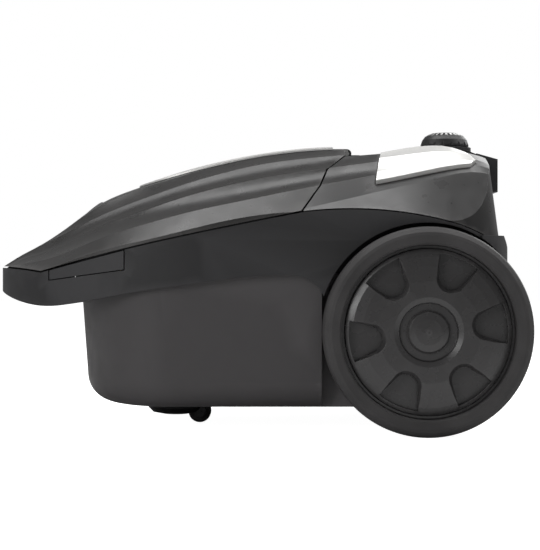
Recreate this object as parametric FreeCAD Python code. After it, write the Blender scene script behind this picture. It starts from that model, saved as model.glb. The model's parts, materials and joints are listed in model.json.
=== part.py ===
import FreeCAD, Part
import math
import os
from FreeCAD import Vector

# Canister vacuum cleaner, in millimetres.  The nose points along -X, the big wheels are at
# the tail (+X), +Z is up, and the origin is on the floor under the middle of the body.
# "Left" is the -Y side, as seen by somebody who walks behind the machine.

os.makedirs("parts", exist_ok=True)

# ---------------------------------------------------------------- driving dimensions
WALL = 2.5                # moulded casing walls
SEAT_GAP = 0.3            # between pieces that are fixed to each other
RUN_FIT = 0.05            # radial play of a shaft in its bearing or bore
MOVE_GAP = 0.8            # around pushed or swung pieces
SEAM = 1.4                # visible seam between the lid and what it closes on

# Outer form
NOSE_X = -225.0           # tip of the nose
BOW_X = -40.0             # where the curved bow meets the straight sides
HALF_WIDTH = 126.0        # of the chassis band
TAIL_X = 205.5            # rear wall at TAIL_LOW_Z
TAIL_LEAN = 8.0           # how far the rear wall leans forward up to TAIL_HIGH_Z
TAIL_LOW_Z = 160.0
TAIL_HIGH_Z = 220.0
TAIL_CORNER = 52.0        # plan radius of the rear corners
BUMPER_X = 212.5          # rear face of the band's bumper
BUMPER_TOP_Z = 163.5
BUMPER_SLOPE = 11.5       # how far the bumper's top falls towards its rear face

# Tub
TUB_FLOOR_Z = 21.0
TUB_RIM_Z = 132.0
TUB_FRONT_X = -155.0
TUB_BOW = 78.0            # depth of the tub's curved front
TUB_HALF_WIDTH = 118.0
TUB_DRAFT = 6.0           # sides lean in this much down to the floor
TUB_FILLET = 24.0
TUB_REAR_X = 195.0
RECESS_X = 55.0           # the tub steps in for the wheels behind this
RECESS_HALF = 95.0
LEDGE = 2.7               # flange of the band on top of the tub's rim

# Rear wheels
WHEEL_X = 140.0
WHEEL_RADIUS = 85.0
WHEEL_FACE_Y = 145.0
WHEEL_WIDTH = 45.0
WELL_GAP = 3.5
TYRE_DEPTH = 14.7
SPOKES = 6
SPOKE_TURN = 7.0          # degrees from +X to the first pocket
STAR_RADIUS = 67.0
POCKET_OUTER = 64.0
POCKET_INNER = 38.0
POCKET_HALF = 16.5        # half width of a pocket at its outer end
POCKET_BEVEL = 3.0        # chamfer round the mouth of a pocket
POCKET_DEPTH = 11.0
HUB_RECESS = 24.0
CAP_RADIUS = 17.5
AXLE_RADIUS = 6.0

# Caster
CASTER_X = -71.0
CASTER_TRAIL = 21.0
CASTER_WHEEL_RADIUS = 10.0
CASTER_WHEEL_HALF = 7.0
CASTER_DISC_RADIUS = 26.0
CASTER_PIN_RADIUS = 5.0
CASTER_PIN_TOP = 32.0
CASTER_AXLE_RADIUS = 2.0
CASTER_LUG = 4.5          # thickness of the lugs beside the wheel

# Lid and its hinge
HINGE_X = 79.0
HINGE_Z = 236.0
HINGE_RADIUS = 4.0
HINGE_PIN_RADIUS = 2.0
LID_WALL_LOW = 206.0      # lower edge of the lid's rear wall
LUG_DROP = 1.2            # the fixed lugs stay this far below the hinge axis, clear of the open lid
KNUCKLES = ((-42.0, -30.4), (-30.0, -12.0), (-11.6, 11.6), (12.0, 30.0), (30.4, 42.0))
PANEL_THICK = 1.4
SEAL_RISE = 1.0           # lower edge of the lid's seal above the edge of the lid
PORT_SLOPE = 43.0         # degrees, of the hose port's face
PORT_X = -153.0
PORT_Z = 181.5
PORT_BORE = 17.5
PORT_OUTER = 21.5
PORT_LENGTH = 26.0
PORT_SEAL = 4.0           # room under the collar for its seal

# Dust room
FRAME_THICK = 12.0        # filter cassette
FILTER_HALF = 44.0
PLATE_THICK = 2.0         # card plate of the bag
PLATE_HALF = 40.0
PLATE_HIGH = 33.0
HOLDER_LOW = -30.0        # lower end of the plate's holder, down the port's slope
BAG_GAP = 17.0            # between the bag and the tub's outside
BAG_TOP_Z = 122.0

# Controls
KNOB_X = 168.4
KNOB_RADIUS = 21.3
KNOB_BASE_Z = 245.0
KNOB_HEIGHT = 12.2
KNOB_SHOULDER = 17.4      # radius where the knob's side turns over into its top
KNOB_TOP_RADIUS = 11.5
KNOB_TAIL = 25.0          # reach of the plinth's ramp behind the knob's axis
SPINDLE_RADIUS = 3.0
PEDAL_TRAVEL = 4.0
PEDAL_TILT = 40.0         # degrees, of the push direction from vertical
PEDAL_RISE = 2.5          # how proud the pedals stand
STEM_RADIUS = 6.0
STEM_X = 142.0
STEM_T = 78.0             # up-slope place of the pedal's stem
STEM_TOP = 224.0          # this and the next five are distances along the push direction
STEM_END = 194.0
GUIDE_TOP = 210.0
GUIDE_LOW = 186.0
SPRING_SEAT = 0.9
PUSH_ROD_END = 156.4
PUSH_ROD_RADIUS = 3.0
TAB_TRAVEL = 3.0
TAB_STEM_END = 86.0       # inner end of a tab's stem, from the middle
TAB_STOP = 78.0           # outer face of the stop that its spring leans on
LEAF_THICK = 0.6
BOARD_RISE = 22.0         # of the control board above the deck

# Motor and blower, along X
MOTOR_Y = -32.0
MOTOR_Z = 100.0
FAN_FRONT_X = 10.0
FAN_LENGTH = 38.0
FAN_RADIUS = 58.0
MOTOR_RADIUS = 42.0
MOTOR_REAR_X = 130.0
SHAFT_RADIUS = 4.0
EYE_RADIUS = 20.0
BEARING_OUTER = 11.0
BEARING_LENGTH = 7.0
ARMATURE = (64.0, 100.0)
ARMATURE_RADIUS = 24.0
STATOR_BORE = 25.0
STATOR_OUTER = 38.0
COMMUTATOR = (105.0, 120.0)
COMMUTATOR_RADIUS = 13.0
TAIL_BOSS = 18.0          # boss at the rear of the housing, held in a rubber ring
CRADLE_BORE = 20.0
CRADLE_X = MOTOR_REAR_X + 1.5
CRADLE_THICK = 9.0

# Cord reel, along Y
REEL_X = 108.0
REEL_Z = 98.0
REEL_RADIUS = 60.0
REEL_NEAR_Y = 30.0
REEL_FAR_Y = 79.0
REEL_CORE = 24.0
REEL_AXLE_RADIUS = 5.0
REEL_SLEEVE = 3.0         # wall of the sleeve that turns on the axle
LEVER_X = 118.0           # reel brake lever, on its pin under the deck
LEVER_Z = 165.0
LEVER_Y0 = 33.4
LEVER_Y1 = 46.6
LEVER_PIN_RADIUS = 1.5

# Deck over the motor room
DECK_Z = 176.0
DECK_THICK = 2.5
DECK_HALF = 100.0
BULKHEAD_X = -3.0
CORD_OUTLET_Y = 56.0
CORD_OUTLET_Z = 192.0
CORD_BORE = 4.5

# Exhaust door in the tub's rear wall
DOOR_HALF = 60.0
DOOR_LOW_Z = 37.0
DOOR_HINGE_Z = 127.5
DOOR_THICK = 3.0
DOOR_HINGE_X = TUB_REAR_X + 3.5
DOOR_PIN_RADIUS = 1.5
DOOR_LAP = 6.0            # how far the door covers the wall round its window

# Parking bracket
PARK_X = 213.0
PARK_HALF = 20.0
PARK_SLOT = 9.5

LID_STATIONS = 14         # evenly spaced sections that the skins are drawn through
COVER_STATIONS = 9

# Lid cross-sections: x, then (y, z) of the belt, ridge A, ridge B, ridge C and the shoulder
# of the hood, then the crown's z and how deep the flutes between A-B and B-C are.
LID_SECTIONS = (
    (-238, (40, 127.0), (27, 129.5), (17, 131.0), (11, 131.5), (6, 131.3), 131.2, 0.0, 0.0),
    (-205, (57, 137.0), (43, 140.5), (30, 144.0), (21, 148.5), (14, 149.6), 150.0, 0.3, 0.8),
    (-180, (83, 134.0), (66, 143.5), (46, 151.5), (32, 160.5), (23, 162.5), 163.0, 0.6, 1.6),
    (-150, (102, 143.5), (84, 153.0), (61.5, 162.5), (45, 174.0), (34, 182.0), 186.0, 1.0, 2.2),
    (-130, (110.5, 149.5), (94, 161.0), (70.5, 172.5), (50.5, 183.5), (39, 193.5), 198.5, 1.3, 2.4),
    (-105, (118, 156.0), (102, 168.8), (78, 181.0), (55.5, 193.0), (42, 203.5), 208.0, 1.6, 2.6),
    (-55, (125.8, 167.3), (110.5, 182.4), (87, 197.5), (62.5, 210.0), (45, 219.0), 224.0, 2.4, 3.0),
    (0, (127, 178.0), (112, 194.0), (88, 210.8), (62, 224.4), (45, 231.7), 236.0, 3.0, 3.2),
    (55, (120, 190.0), (108, 205.4), (86.5, 219.8), (60.5, 231.8), (45, 238.0), 242.5, 3.0, 3.0),
    (95, (113, 199.0), (102, 213.0), (85.5, 224.5), (60, 234.5), (45, 239.0), 242.0, 2.0, 2.0),
)

# Rear cover cross-sections: x, then (y, z) of the arch line, the belt and ridges A, B and C,
# then the crown's z and the depths of the flutes A-B and B-C.
COVER_SECTIONS = (
    (20, (126, 180.0), (125.5, 182.0), (110.5, 198.8), (87.5, 214.5), (61, 227.5), 231.0, 2.6, 3.0),
    (40, (126, 182.7), (124, 185.0), (109, 202.6), (87, 217.5), (61, 229.8), 233.0, 2.6, 3.0),
    (75, (126, 184.7), (117, 193.0), (105, 209.0), (86, 222.4), (62, 232.0), 234.5, 1.8, 2.0),
    (110, (126, 183.5), (109, 201.5), (98, 215.6), (85, 227.0), (67, 234.3), 237.0, 0.6, 0.8),
    (150, (126, 176.5), (101.5, 210.8), (92.5, 222.5), (82, 232.0), (67, 238.3), 240.0, 0.0, 0.0),
    (170, (126, 171.0), (97, 215.5), (89.5, 224.5), (80, 231.5), (66, 237.0), 239.5, 0.0, 0.0),
    (185, (126, 165.0), (94.5, 216.5), (87, 222.5), (78, 228.0), (64, 233.5), 238.5, 0.0, 0.0),
    (200, (126, 157.0), (92, 214.0), (85, 219.0), (76, 223.5), (62, 229.0), 235.0, 0.0, 0.0),
    (222, (126, 145.0), (88, 208.0), (81, 212.0), (72, 216.0), (58, 220.0), 226.0, 0.0, 0.0),
)

# Lines on the side of the machine, as (x, z)
BAND_LOWER = ((-245, 129), (-222, 116.5), (-200, 108.5), (-175, 105), (-150, 107.5),
              (-110, 115), (-50, 124), (0, 130), (22, 131))
BAND_LOWER_END = ((22, 131), (46, 126), (58, 110))
NOSE_SEAM = ((-250, 138.5), (-208, 137), (-180, 133.6))
LID_SEAM = ((-180, 133.6), (-103, 153), (-44, 166), (38.5, 182.5))
ARCH_LINE = ((38.5, 182.5), (84.6, 184.9), (129.5, 180.8), (157, 175), (183, 166), (200, 157), (225, 140))
PARTING_LINE = ((38.5, 182.5), (53.6, 204.2), (60.5, 219.6), (80, 235.8), (86, 260))
TAB_OUTLINE = ((-172, 127.0), (-107, 135.5), (-107, 151.0), (-140, 142.8), (-172, 134.8))
PEDAL_OUTLINE = ((99.6, 51.4), (180, 72.9), (184.5, 79.5), (177, 92), (167, 99), (154, 103),
                 (140, 102), (106.2, 95.5))


# ---------------------------------------------------------------- building blocks
def box(x0, x1, y0, y1, z0, z1):
    return Part.makeBox(x1 - x0, y1 - y0, z1 - z0, Vector(x0, y0, z0))


def rod(radius, start, end):
    start, end = Vector(*start), Vector(*end)
    return Part.makeCylinder(radius, (end - start).Length, start, end - start)


def tube(outer, bore, start, end):
    return rod(outer, start, end).cut(rod(bore, start, end))


def line(a, b):
    return Part.LineSegment(a, b).toShape()


def bezier(points):
    curve = Part.BezierCurve()
    curve.setPoles(points)
    return curve.toShape()


def spline(points):
    if len(points) == 2:
        return line(points[0], points[1])
    curve = Part.BSplineCurve()
    curve.interpolate(points)
    return curve.toShape()


def mirrored(shape):
    return shape.mirror(Vector(0, 0, 0), Vector(0, 1, 0))


def both(shape):
    return [shape, mirrored(shape)]


def fused(shapes):
    body = shapes[0].fuse(list(shapes[1:]))
    return body.removeSplitter()


def cut_all(body, tools):
    return body.cut(Part.Compound(list(tools)))


def side_prism(edges, half=400.0):
    """Extrudes a closed outline in the XZ plane across the whole body."""
    face = Part.Face(Part.Wire(edges))
    face.translate(Vector(0, -half, 0))
    return face.extrude(Vector(0, 2 * half, 0))


def side_curve(points, rise=0.0):
    return spline([Vector(x, 0, z + rise) for x, z in points])


def side_polygon(points, half=400.0):
    corners = [Vector(x, 0, z) for x, z in points]
    return side_prism([line(a, b) for a, b in zip(corners, corners[1:] + corners[:1])], half)


def turned(profile, origin, axis, ref):
    """Revolves a polygon of (radius, distance along the axis) about an axis."""
    origin, axis, ref = Vector(*origin), Vector(*axis), Vector(*ref)
    points = [origin + ref * r + axis * h for r, h in profile]
    face = Part.Face(Part.makePolygon(points + points[:1]))
    return face.revolve(origin, axis, 360)


def coil(radius, wire, pitch, turns, origin, axis):
    helix = Part.makeHelix(pitch, pitch * turns, radius)
    circle = Part.Wire(Part.makeCircle(wire, Vector(radius, 0, 0), Vector(0, 1, 0)))
    shell = Part.BRepOffsetAPI.MakePipeShell(helix)
    shell.add(circle)
    shell.build()
    shell.makeSolid()
    body = shell.shape()
    turn = FreeCAD.Rotation(Vector(0, 0, 1), Vector(*axis))
    body.Placement = FreeCAD.Placement(Vector(*origin), turn)
    return body


def coil_pair(radius, wire, pitch, turns, origin, axis):
    """One spring on each side of the machine, both wound the same way."""
    return [coil(radius, wire, pitch, turns, (origin[0], side * origin[1], origin[2]),
                 (axis[0], side * axis[1], axis[2])) for side in (1, -1)]


def save(node, *solids):
    shape = solids[0] if len(solids) == 1 else Part.Compound(list(solids))
    shape.exportStep("parts/" + node + ".step")
    print(node, len(shape.Solids), "solids, valid" if shape.isValid() else "solids, NOT VALID")


# ---------------------------------------------------------------- outer form
def bow_outline(z, front_x, bow, half, tail_x, corner):
    """Plan outline: an elliptical bow, straight sides and rounded rear corners."""
    k = 0.5523
    cx = front_x + bow
    edges = []
    for side in (1, -1):
        quarter = [(cx, half), (cx - k * bow, half), (front_x, k * half), (front_x, 0)]
        edges.append(bezier([Vector(x, side * y, z) for x, y in quarter]))
        edges.append(line(Vector(cx, side * half, z), Vector(tail_x - corner, side * half, z)))
        if corner > 0:
            turn = [(tail_x - corner, half), (tail_x - corner * 0.2929, half - corner * 0.2929),
                    (tail_x, half - corner)]
            edges.append(Part.Arc(*[Vector(x, side * y, z) for x, y in turn]).toShape())
    edges.append(line(Vector(tail_x, half - corner, z), Vector(tail_x, corner - half, z)))
    return Part.Wire(Part.__sortEdges__(edges))


def band_prism(inset, z0=60.0, z1=TAIL_LOW_Z, z2=280.0):
    """The body's plan shape: upright up to TAIL_LOW_Z, with the rear wall leaning above it."""
    lean = TAIL_LEAN / (TAIL_HIGH_Z - TAIL_LOW_Z)
    rings = []
    for z in (z0, z1, z2):
        tail = TAIL_X - lean * max(0.0, z - TAIL_LOW_Z) - inset
        rings.append(bow_outline(z, NOSE_X + inset, BOW_X - NOSE_X - inset, HALF_WIDTH - inset,
                                 tail, TAIL_CORNER - inset))
    lower = Part.makeLoft(rings[:2], True, True)
    upper = Part.makeLoft(rings[1:], True, True)
    return lower.fuse(upper).removeSplitter()


def across(x, points, dips, crown, floor_z):
    """Closed wire across the body: points run from the side to the shoulder by the crown."""
    edges = []
    half = []
    for (a, b), dip in zip(zip(points, points[1:]), dips):
        dy, dz = b[0] - a[0], b[1] - a[1]
        length = math.hypot(dy, dz)
        middle = ((a[0] + b[0]) / 2 + 2 * dip * dz / -length, (a[1] + b[1]) / 2 + 2 * dip * dy / length)
        half.append((a, middle, b))
    first, last = points[0], points[-1]
    edges.append(line(Vector(x, first[0], floor_z), Vector(x, first[0], first[1])))
    for a, m, b in half:
        edges.append(bezier([Vector(x, y, z) for y, z in (a, m, b)]))
    top = [Vector(x, last[0], last[1]), Vector(x, 0, 2 * crown - last[1]), Vector(x, -last[0], last[1])]
    edges.append(bezier(top))
    for a, m, b in reversed(half):
        edges.append(bezier([Vector(x, -y, z) for y, z in (b, m, a)]))
    edges.append(line(Vector(x, -first[0], first[1]), Vector(x, -first[0], floor_z)))
    edges.append(line(Vector(x, -first[0], floor_z), Vector(x, first[0], floor_z)))
    return Part.Wire(edges)


def inset_points(points, inset):
    return [(y - inset, z - inset) for y, z in points]


def flat(section):
    """All numbers of one section in a row."""
    return [n for item in section for n in (item if isinstance(item, tuple) else (item,))]


def eased(sections, count):
    """Evenly spaced sections on smooth curves through the given ones, as rows of numbers."""
    rows = [flat(s) for s in sections]
    xs = [r[0] for r in rows]

    def slope(i, k):
        lo, hi = max(i - 1, 0), min(i + 1, len(rows) - 1)
        return (rows[hi][k] - rows[lo][k]) / (xs[hi] - xs[lo])

    result = []
    for n in range(count):
        x = xs[0] + (xs[-1] - xs[0]) * n / (count - 1)
        i = max(j for j in range(len(xs) - 1) if xs[j] <= x + 1e-9)
        span = xs[i + 1] - xs[i]
        t = (x - xs[i]) / span
        h = (2 * t ** 3 - 3 * t ** 2 + 1, t ** 3 - 2 * t ** 2 + t, 3 * t ** 2 - 2 * t ** 3, t ** 3 - t ** 2)
        result.append([x] + [h[0] * rows[i][k] + h[1] * span * slope(i, k)
                             + h[2] * rows[i + 1][k] + h[3] * span * slope(i + 1, k)
                             for k in range(1, len(rows[0]))])
    return result


def lid_hull(inset):
    """Solid under the lid's outer surface, moved inwards by inset."""
    wires = []
    reach = HALF_WIDTH + 24
    for row in eased(LID_SECTIONS, LID_STATIONS):
        x, ey, ez, ay, az, by, bz, cy, cz, sy, sz, crown, dip_ab, dip_bc = row
        out_z = az + (ez - az) / (ey - ay) * (reach - ay)
        points = inset_points([(reach, out_z), (ay, az), (by, bz), (cy, cz), (sy, sz)], inset)
        wires.append(across(x, points, (0, dip_ab, dip_bc, 0.4), crown - inset, 70.0 - inset))
    return Part.makeLoft(wires, True, False).common(band_prism(inset, 80.0 - inset))


def cover_hull(inset):
    """Solid under the rear cover's outer surface, moved inwards by inset."""
    wires = []
    for row in eased(COVER_SECTIONS, COVER_STATIONS):
        x, fy, fz, ey, ez, ay, az, by, bz, cy, cz, crown, dip_ab, dip_bc = row
        points = inset_points([(fy, fz), (ey, ez), (ay, az), (by, bz), (cy, cz)], inset)
        wires.append(across(x, points, (0, 0, dip_ab, dip_bc), crown - inset, 70.0 - inset))
    return Part.makeLoft(wires, True, False).common(band_prism(inset, 80.0 - inset))


def tub_hull(inset):
    """The tub's outer volume, moved inwards by inset."""
    rings = []
    for z, draft in ((TUB_FLOOR_Z + inset, TUB_DRAFT), (TUB_RIM_Z, 0.0)):
        slip = inset + draft
        rings.append(bow_outline(z, TUB_FRONT_X + slip * 1.3, TUB_BOW, TUB_HALF_WIDTH - slip,
                                 TUB_REAR_X - inset, 0.0))
    body = Part.makeLoft(rings, True, True)
    floor_edges = [e for e in body.Edges
                   if e.BoundBox.ZMax < TUB_FLOOR_Z + inset + 0.1 and e.BoundBox.XMin < RECESS_X + 30
                   and e.BoundBox.YLength > -1 and e.BoundBox.XLength > 1]
    body = body.makeFillet(TUB_FILLET - inset, floor_edges)
    wells = both(box(RECESS_X - inset, TAIL_X + 50, RECESS_HALF - inset, HALF_WIDTH + 50, 0, TUB_RIM_Z + 20))
    return cut_all(body, wells)


def shifted(points, dx, dz):
    return [(x + dx, z + dz) for x, z in points]


def lid_zone(raise_by, back_by):
    """Where the lid is: above the seam and ahead of the parting line."""
    nose = side_curve(shifted(NOSE_SEAM, 0, raise_by))
    side_points = shifted(LID_SEAM, 0, raise_by)
    front = shifted(PARTING_LINE, -back_by, 0)
    start = (front[0][0], front[0][1] + raise_by - back_by * 0.2)
    side_points[-1] = start
    front[0] = start
    side = side_curve(side_points)
    rear = [line(Vector(a[0], 0, a[1]), Vector(b[0], 0, b[1])) for a, b in zip(front, front[1:])]
    top = 300.0
    first = Vector(NOSE_SEAM[0][0], 0, NOSE_SEAM[0][1] + raise_by)
    last = Vector(front[-1][0], 0, front[-1][1])
    closing = [line(last, Vector(last.x, 0, top)), line(Vector(last.x, 0, top), Vector(first.x, 0, top)),
               line(Vector(first.x, 0, top), first)]
    return side_prism([nose, side] + rear + closing)


def cover_zone(raise_by, ahead_by):
    """Where the rear cover is: above the arch line and behind the parting line."""
    arch = shifted(ARCH_LINE, 0, raise_by)
    front = shifted(PARTING_LINE, ahead_by, 0)
    start = (front[0][0], front[0][1] + raise_by)
    arch[0] = start
    front[0] = start
    corners = [Vector(x, 0, z) for x, z in front]
    front_edges = [line(b, a) for a, b in zip(corners, corners[1:])][::-1]
    top = 300.0
    last = Vector(arch[-1][0], 0, arch[-1][1])
    upper = Vector(front[-1][0], 0, front[-1][1])
    closing = [line(last, Vector(last.x, 0, top)), line(Vector(last.x, 0, top), Vector(upper.x, 0, top)),
               line(Vector(upper.x, 0, top), upper)]
    return side_prism(front_edges + [side_curve(arch)] + closing)


def band_zone(lower_by):
    """Where the chassis band is: between its lower edge and the lid seam or the arch line."""
    nose = side_curve(shifted(NOSE_SEAM, 0, -lower_by))
    side = side_curve(shifted(LID_SEAM, 0, -lower_by))
    arch = side_curve(shifted(ARCH_LINE, 0, -lower_by))
    lower = side_curve(BAND_LOWER)
    lower_end = side_curve(BAND_LOWER_END)
    x_end, z_end = ARCH_LINE[-1][0], ARCH_LINE[-1][1] - lower_by
    tip_x, tip_z = BAND_LOWER_END[-1]
    rim = TUB_RIM_Z + SEAT_GAP
    well = [Vector(tip_x, 0, tip_z), Vector(tip_x + 42, 0, tip_z), Vector(tip_x + 42, 0, rim),
            Vector(x_end, 0, rim), Vector(x_end, 0, z_end)]
    start = Vector(BAND_LOWER[0][0], 0, BAND_LOWER[0][1])
    nose_start = Vector(NOSE_SEAM[0][0], 0, NOSE_SEAM[0][1] - lower_by)
    edges = [lower, lower_end] + [line(a, b) for a, b in zip(well, well[1:])]
    edges += [arch, side, nose, line(nose_start, start)]
    return side_prism(Part.__sortEdges__(edges))


def lower_strip(rise):
    """XZ strip along the band's lower edge, as thick as rise."""
    low = side_curve(BAND_LOWER)
    high = side_curve(BAND_LOWER, rise)
    ends = [line(low.Vertexes[i].Point, high.Vertexes[i].Point) for i in (0, -1)]
    return side_prism(Part.__sortEdges__([low, high] + ends))


def parting_strip(near, far):
    """XZ strip that follows the parting line, between two distances behind it."""
    front = shifted(PARTING_LINE, near, 0)
    back = shifted(PARTING_LINE, far, 0)
    return side_polygon(front + back[::-1])


# ---------------------------------------------------------------- shared hulls
LID_OUT = lid_hull(0)
LID_IN = lid_hull(WALL)
COVER_OUT = cover_hull(0)
COVER_IN = cover_hull(WALL)
COVER_CLEAR = cover_hull(-SEAT_GAP)
TUB_OUT = tub_hull(0)
TUB_IN = tub_hull(WALL)
BAND_OUT = band_prism(0)
BAND_IN = band_prism(WALL)

# The hose port's axis leans forward, square to its sloping face.
PORT_AXIS = Vector(-math.sin(math.radians(PORT_SLOPE)), 0, math.cos(math.radians(PORT_SLOPE)))
PORT_UP = Vector(math.cos(math.radians(PORT_SLOPE)), 0, math.sin(math.radians(PORT_SLOPE)))
PORT = Vector(PORT_X, 0, PORT_Z)


def hinge_rod(radius, y0, y1):
    return rod(radius, (HINGE_X, y0, HINGE_Z), (HINGE_X, y1, HINGE_Z))


def door_rod(radius, reach):
    return rod(radius, (DOOR_HINGE_X, -reach, DOOR_HINGE_Z), (DOOR_HINGE_X, reach, DOOR_HINGE_Z))


def lever_rod(radius, reach):
    return rod(radius, (LEVER_X, LEVER_Y0 - reach, LEVER_Z), (LEVER_X, LEVER_Y1 + reach, LEVER_Z))


def port_rod(radius, start, end):
    """Cylinder on the hose port's axis, between two distances outwards from its face."""
    return rod(radius, PORT + PORT_AXIS * start, PORT + PORT_AXIS * end)


# Push buttons: outwards normal and up-slope direction on the left side of the machine.
TILT = math.radians(PEDAL_TILT)
PUSH_OUT = Vector(0, -math.sin(TILT), math.cos(TILT))
PUSH_UP = Vector(0, math.cos(TILT), math.sin(TILT))


def pedal_prism(grow):
    """The pedal's outline, grown outwards, as a prism along the push direction."""
    corners = [Vector(x, 0, 0) + PUSH_UP * t + PUSH_OUT * 120 for x, t in PEDAL_OUTLINE]
    outline = Part.makePolygon(corners + corners[:1])
    if grow:
        outline = outline.makeOffset2D(grow, 0, False, False, True)
    return Part.Face(outline).extrude(PUSH_OUT * 200)


def stem_point(along):
    return Vector(STEM_X, 0, 0) + PUSH_UP * STEM_T + PUSH_OUT * along


# ---------------------------------------------------------------- lid
def lid_shell():
    shell = LID_OUT.common(lid_zone(SEAM / 2, SEAM / 2)).cut(LID_IN)
    rear_wall = LID_OUT.common(parting_strip(-SEAM / 2 - WALL, -SEAM / 2))
    rear_wall = rear_wall.common(box(0, 90, -110, 110, LID_WALL_LOW, 260))
    pieces = [shell, rear_wall]
    for y0, y1 in KNUCKLES[1::2]:
        barrel = hinge_rod(HINGE_RADIUS, y0, y1)
        arm = box(HINGE_X - 16, HINGE_X, y0, y1, HINGE_Z, HINGE_Z + HINGE_RADIUS)
        pieces += [barrel, arm]
    body = fused(pieces)
    cuts = [port_rod(PORT_OUTER + SEAT_GAP, -40, 40)]
    for y0, y1 in KNUCKLES[0::2]:
        cuts.append(hinge_rod(HINGE_RADIUS + MOVE_GAP, y0 - 0.4, y1 + 0.4))
    cuts.append(hinge_rod(HINGE_PIN_RADIUS + RUN_FIT, -60, 60))
    return cut_all(body, cuts)


def lid_centre_panel():
    """Bright strip over the hood, between its two dark shoulders."""
    skin = lid_hull(-SEAT_GAP - PANEL_THICK).cut(lid_hull(-SEAT_GAP))
    half, tip, rear = 43.0, -104.0, 67.0
    side = ((tip, 0), (tip + 12, -26), (tip + 40, -38), (-20, -half), (rear, -half))
    plan = [Vector(x, y, 150) for x, y in side]
    left = spline(plan)
    right = left.mirror(Vector(0, 0, 0), Vector(0, 1, 0))
    edges = [left, right, line(plan[-1], Vector(rear, half, 150))]
    zone = Part.Face(Part.Wire(Part.__sortEdges__(edges))).extrude(Vector(0, 0, 120))
    return skin.common(zone)


def lid_seal():
    ring = lid_hull(WALL + SEAT_GAP).cut(lid_hull(WALL + 3.0))
    low = SEAM / 2 + SEAL_RISE
    band = lid_zone(low, 8.0).cut(lid_zone(low + 4.0, 8.0))
    room = box(NOSE_X + 25, 36, -HALF_WIDTH, HALF_WIDTH, 120, 195)
    return ring.common(band).common(room)


def hose_port_collar():
    """Tube through the lid: its mouth is flush with the hood, a flange grips it from inside."""
    neck = port_rod(PORT_OUTER, -PORT_LENGTH, 0)
    flange = port_rod(PORT_OUTER + 5, -10, 0).common(lid_hull(WALL + SEAT_GAP))
    return fused([neck, flange]).cut(port_rod(PORT_BORE, -60, 60))


def hose_port_seal():
    top, low = -PORT_LENGTH - SEAT_GAP, -PORT_LENGTH - PORT_SEAL
    return port_rod(PORT_OUTER, low, top).cut(port_rod(PORT_BORE + 1, -60, 60))


save("lid_shell", lid_shell())
save("lid_centre_panel", lid_centre_panel())
save("lid_seal", lid_seal())
save("hose_port_collar", hose_port_collar())
save("hose_port_seal", hose_port_seal())
save("lid_hinge_pin", hinge_rod(HINGE_PIN_RADIUS, KNUCKLES[0][0], KNUCKLES[-1][1]))


# ---------------------------------------------------------------- rear cover
def rear_cover():
    """Fixed cover; fillers on its front wall close the seam that it leaves beside the lid."""
    shell = COVER_OUT.common(cover_zone(SEAT_GAP / 2, SEAM / 2)).cut(COVER_IN)
    front_wall = COVER_OUT.common(parting_strip(SEAM / 2, SEAM / 2 + WALL))
    front_wall = front_wall.common(box(0, 95, -118, 118, DECK_Z + 10, 260))
    low_fill = parting_strip(-2.0, SEAM / 2 + 1.0).common(box(0, 95, -100, 100, DECK_Z + 8, LID_WALL_LOW - 1))
    high_fill = parting_strip(SEAT_GAP - SEAM / 2, SEAM / 2 + 1.0)
    high_fill = high_fill.common(box(0, 95, -60, 60, DECK_Z + 20, HINGE_Z - 8))
    filler = fused([low_fill, high_fill]).common(COVER_IN).common(lid_hull(WALL + SEAT_GAP))
    pieces = [shell, front_wall, filler]
    for y0, y1 in KNUCKLES[0::2]:
        pieces.append(hinge_rod(HINGE_RADIUS, y0, y1))
        lug_top = HINGE_Z - LUG_DROP
        pieces.append(box(HINGE_X, HINGE_X + 11, y0, y1, HINGE_Z - HINGE_RADIUS, lug_top))
    body = fused(pieces)
    cuts = both(pedal_prism(MOVE_GAP))
    for y0, y1 in KNUCKLES[1::2]:
        cuts.append(hinge_rod(HINGE_RADIUS + MOVE_GAP, y0 - 0.4, y1 + 0.4))
    cuts.append(hinge_rod(HINGE_PIN_RADIUS + RUN_FIT, -60, 60))
    cuts.append(spindle_hole())
    cuts.append(rod(CORD_BORE + 3.0 + SEAT_GAP, (TAIL_X - 30, CORD_OUTLET_Y, CORD_OUTLET_Z),
                    (TAIL_X + 20, CORD_OUTLET_Y, CORD_OUTLET_Z)))
    return cut_all(body, cuts)


def pedal():
    """Left-hand push pedal: a proud skin, a skirt round its edge and a stem."""
    proud = cover_hull(-PEDAL_RISE)
    outline = pedal_prism(0)
    skin = proud.common(outline).cut(cover_hull(0.5))
    skirt = proud.common(outline.cut(pedal_prism(-2.0))).cut(cover_hull(8.0))
    stem = rod(STEM_RADIUS, stem_point(STEM_END), stem_point(STEM_TOP + 12)).common(proud)
    return fused([skin, skirt, stem])


def spindle_hole():
    return rod(SPINDLE_RADIUS + 1.0, (KNOB_X, 0, 200), (KNOB_X, 0, 260))


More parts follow.
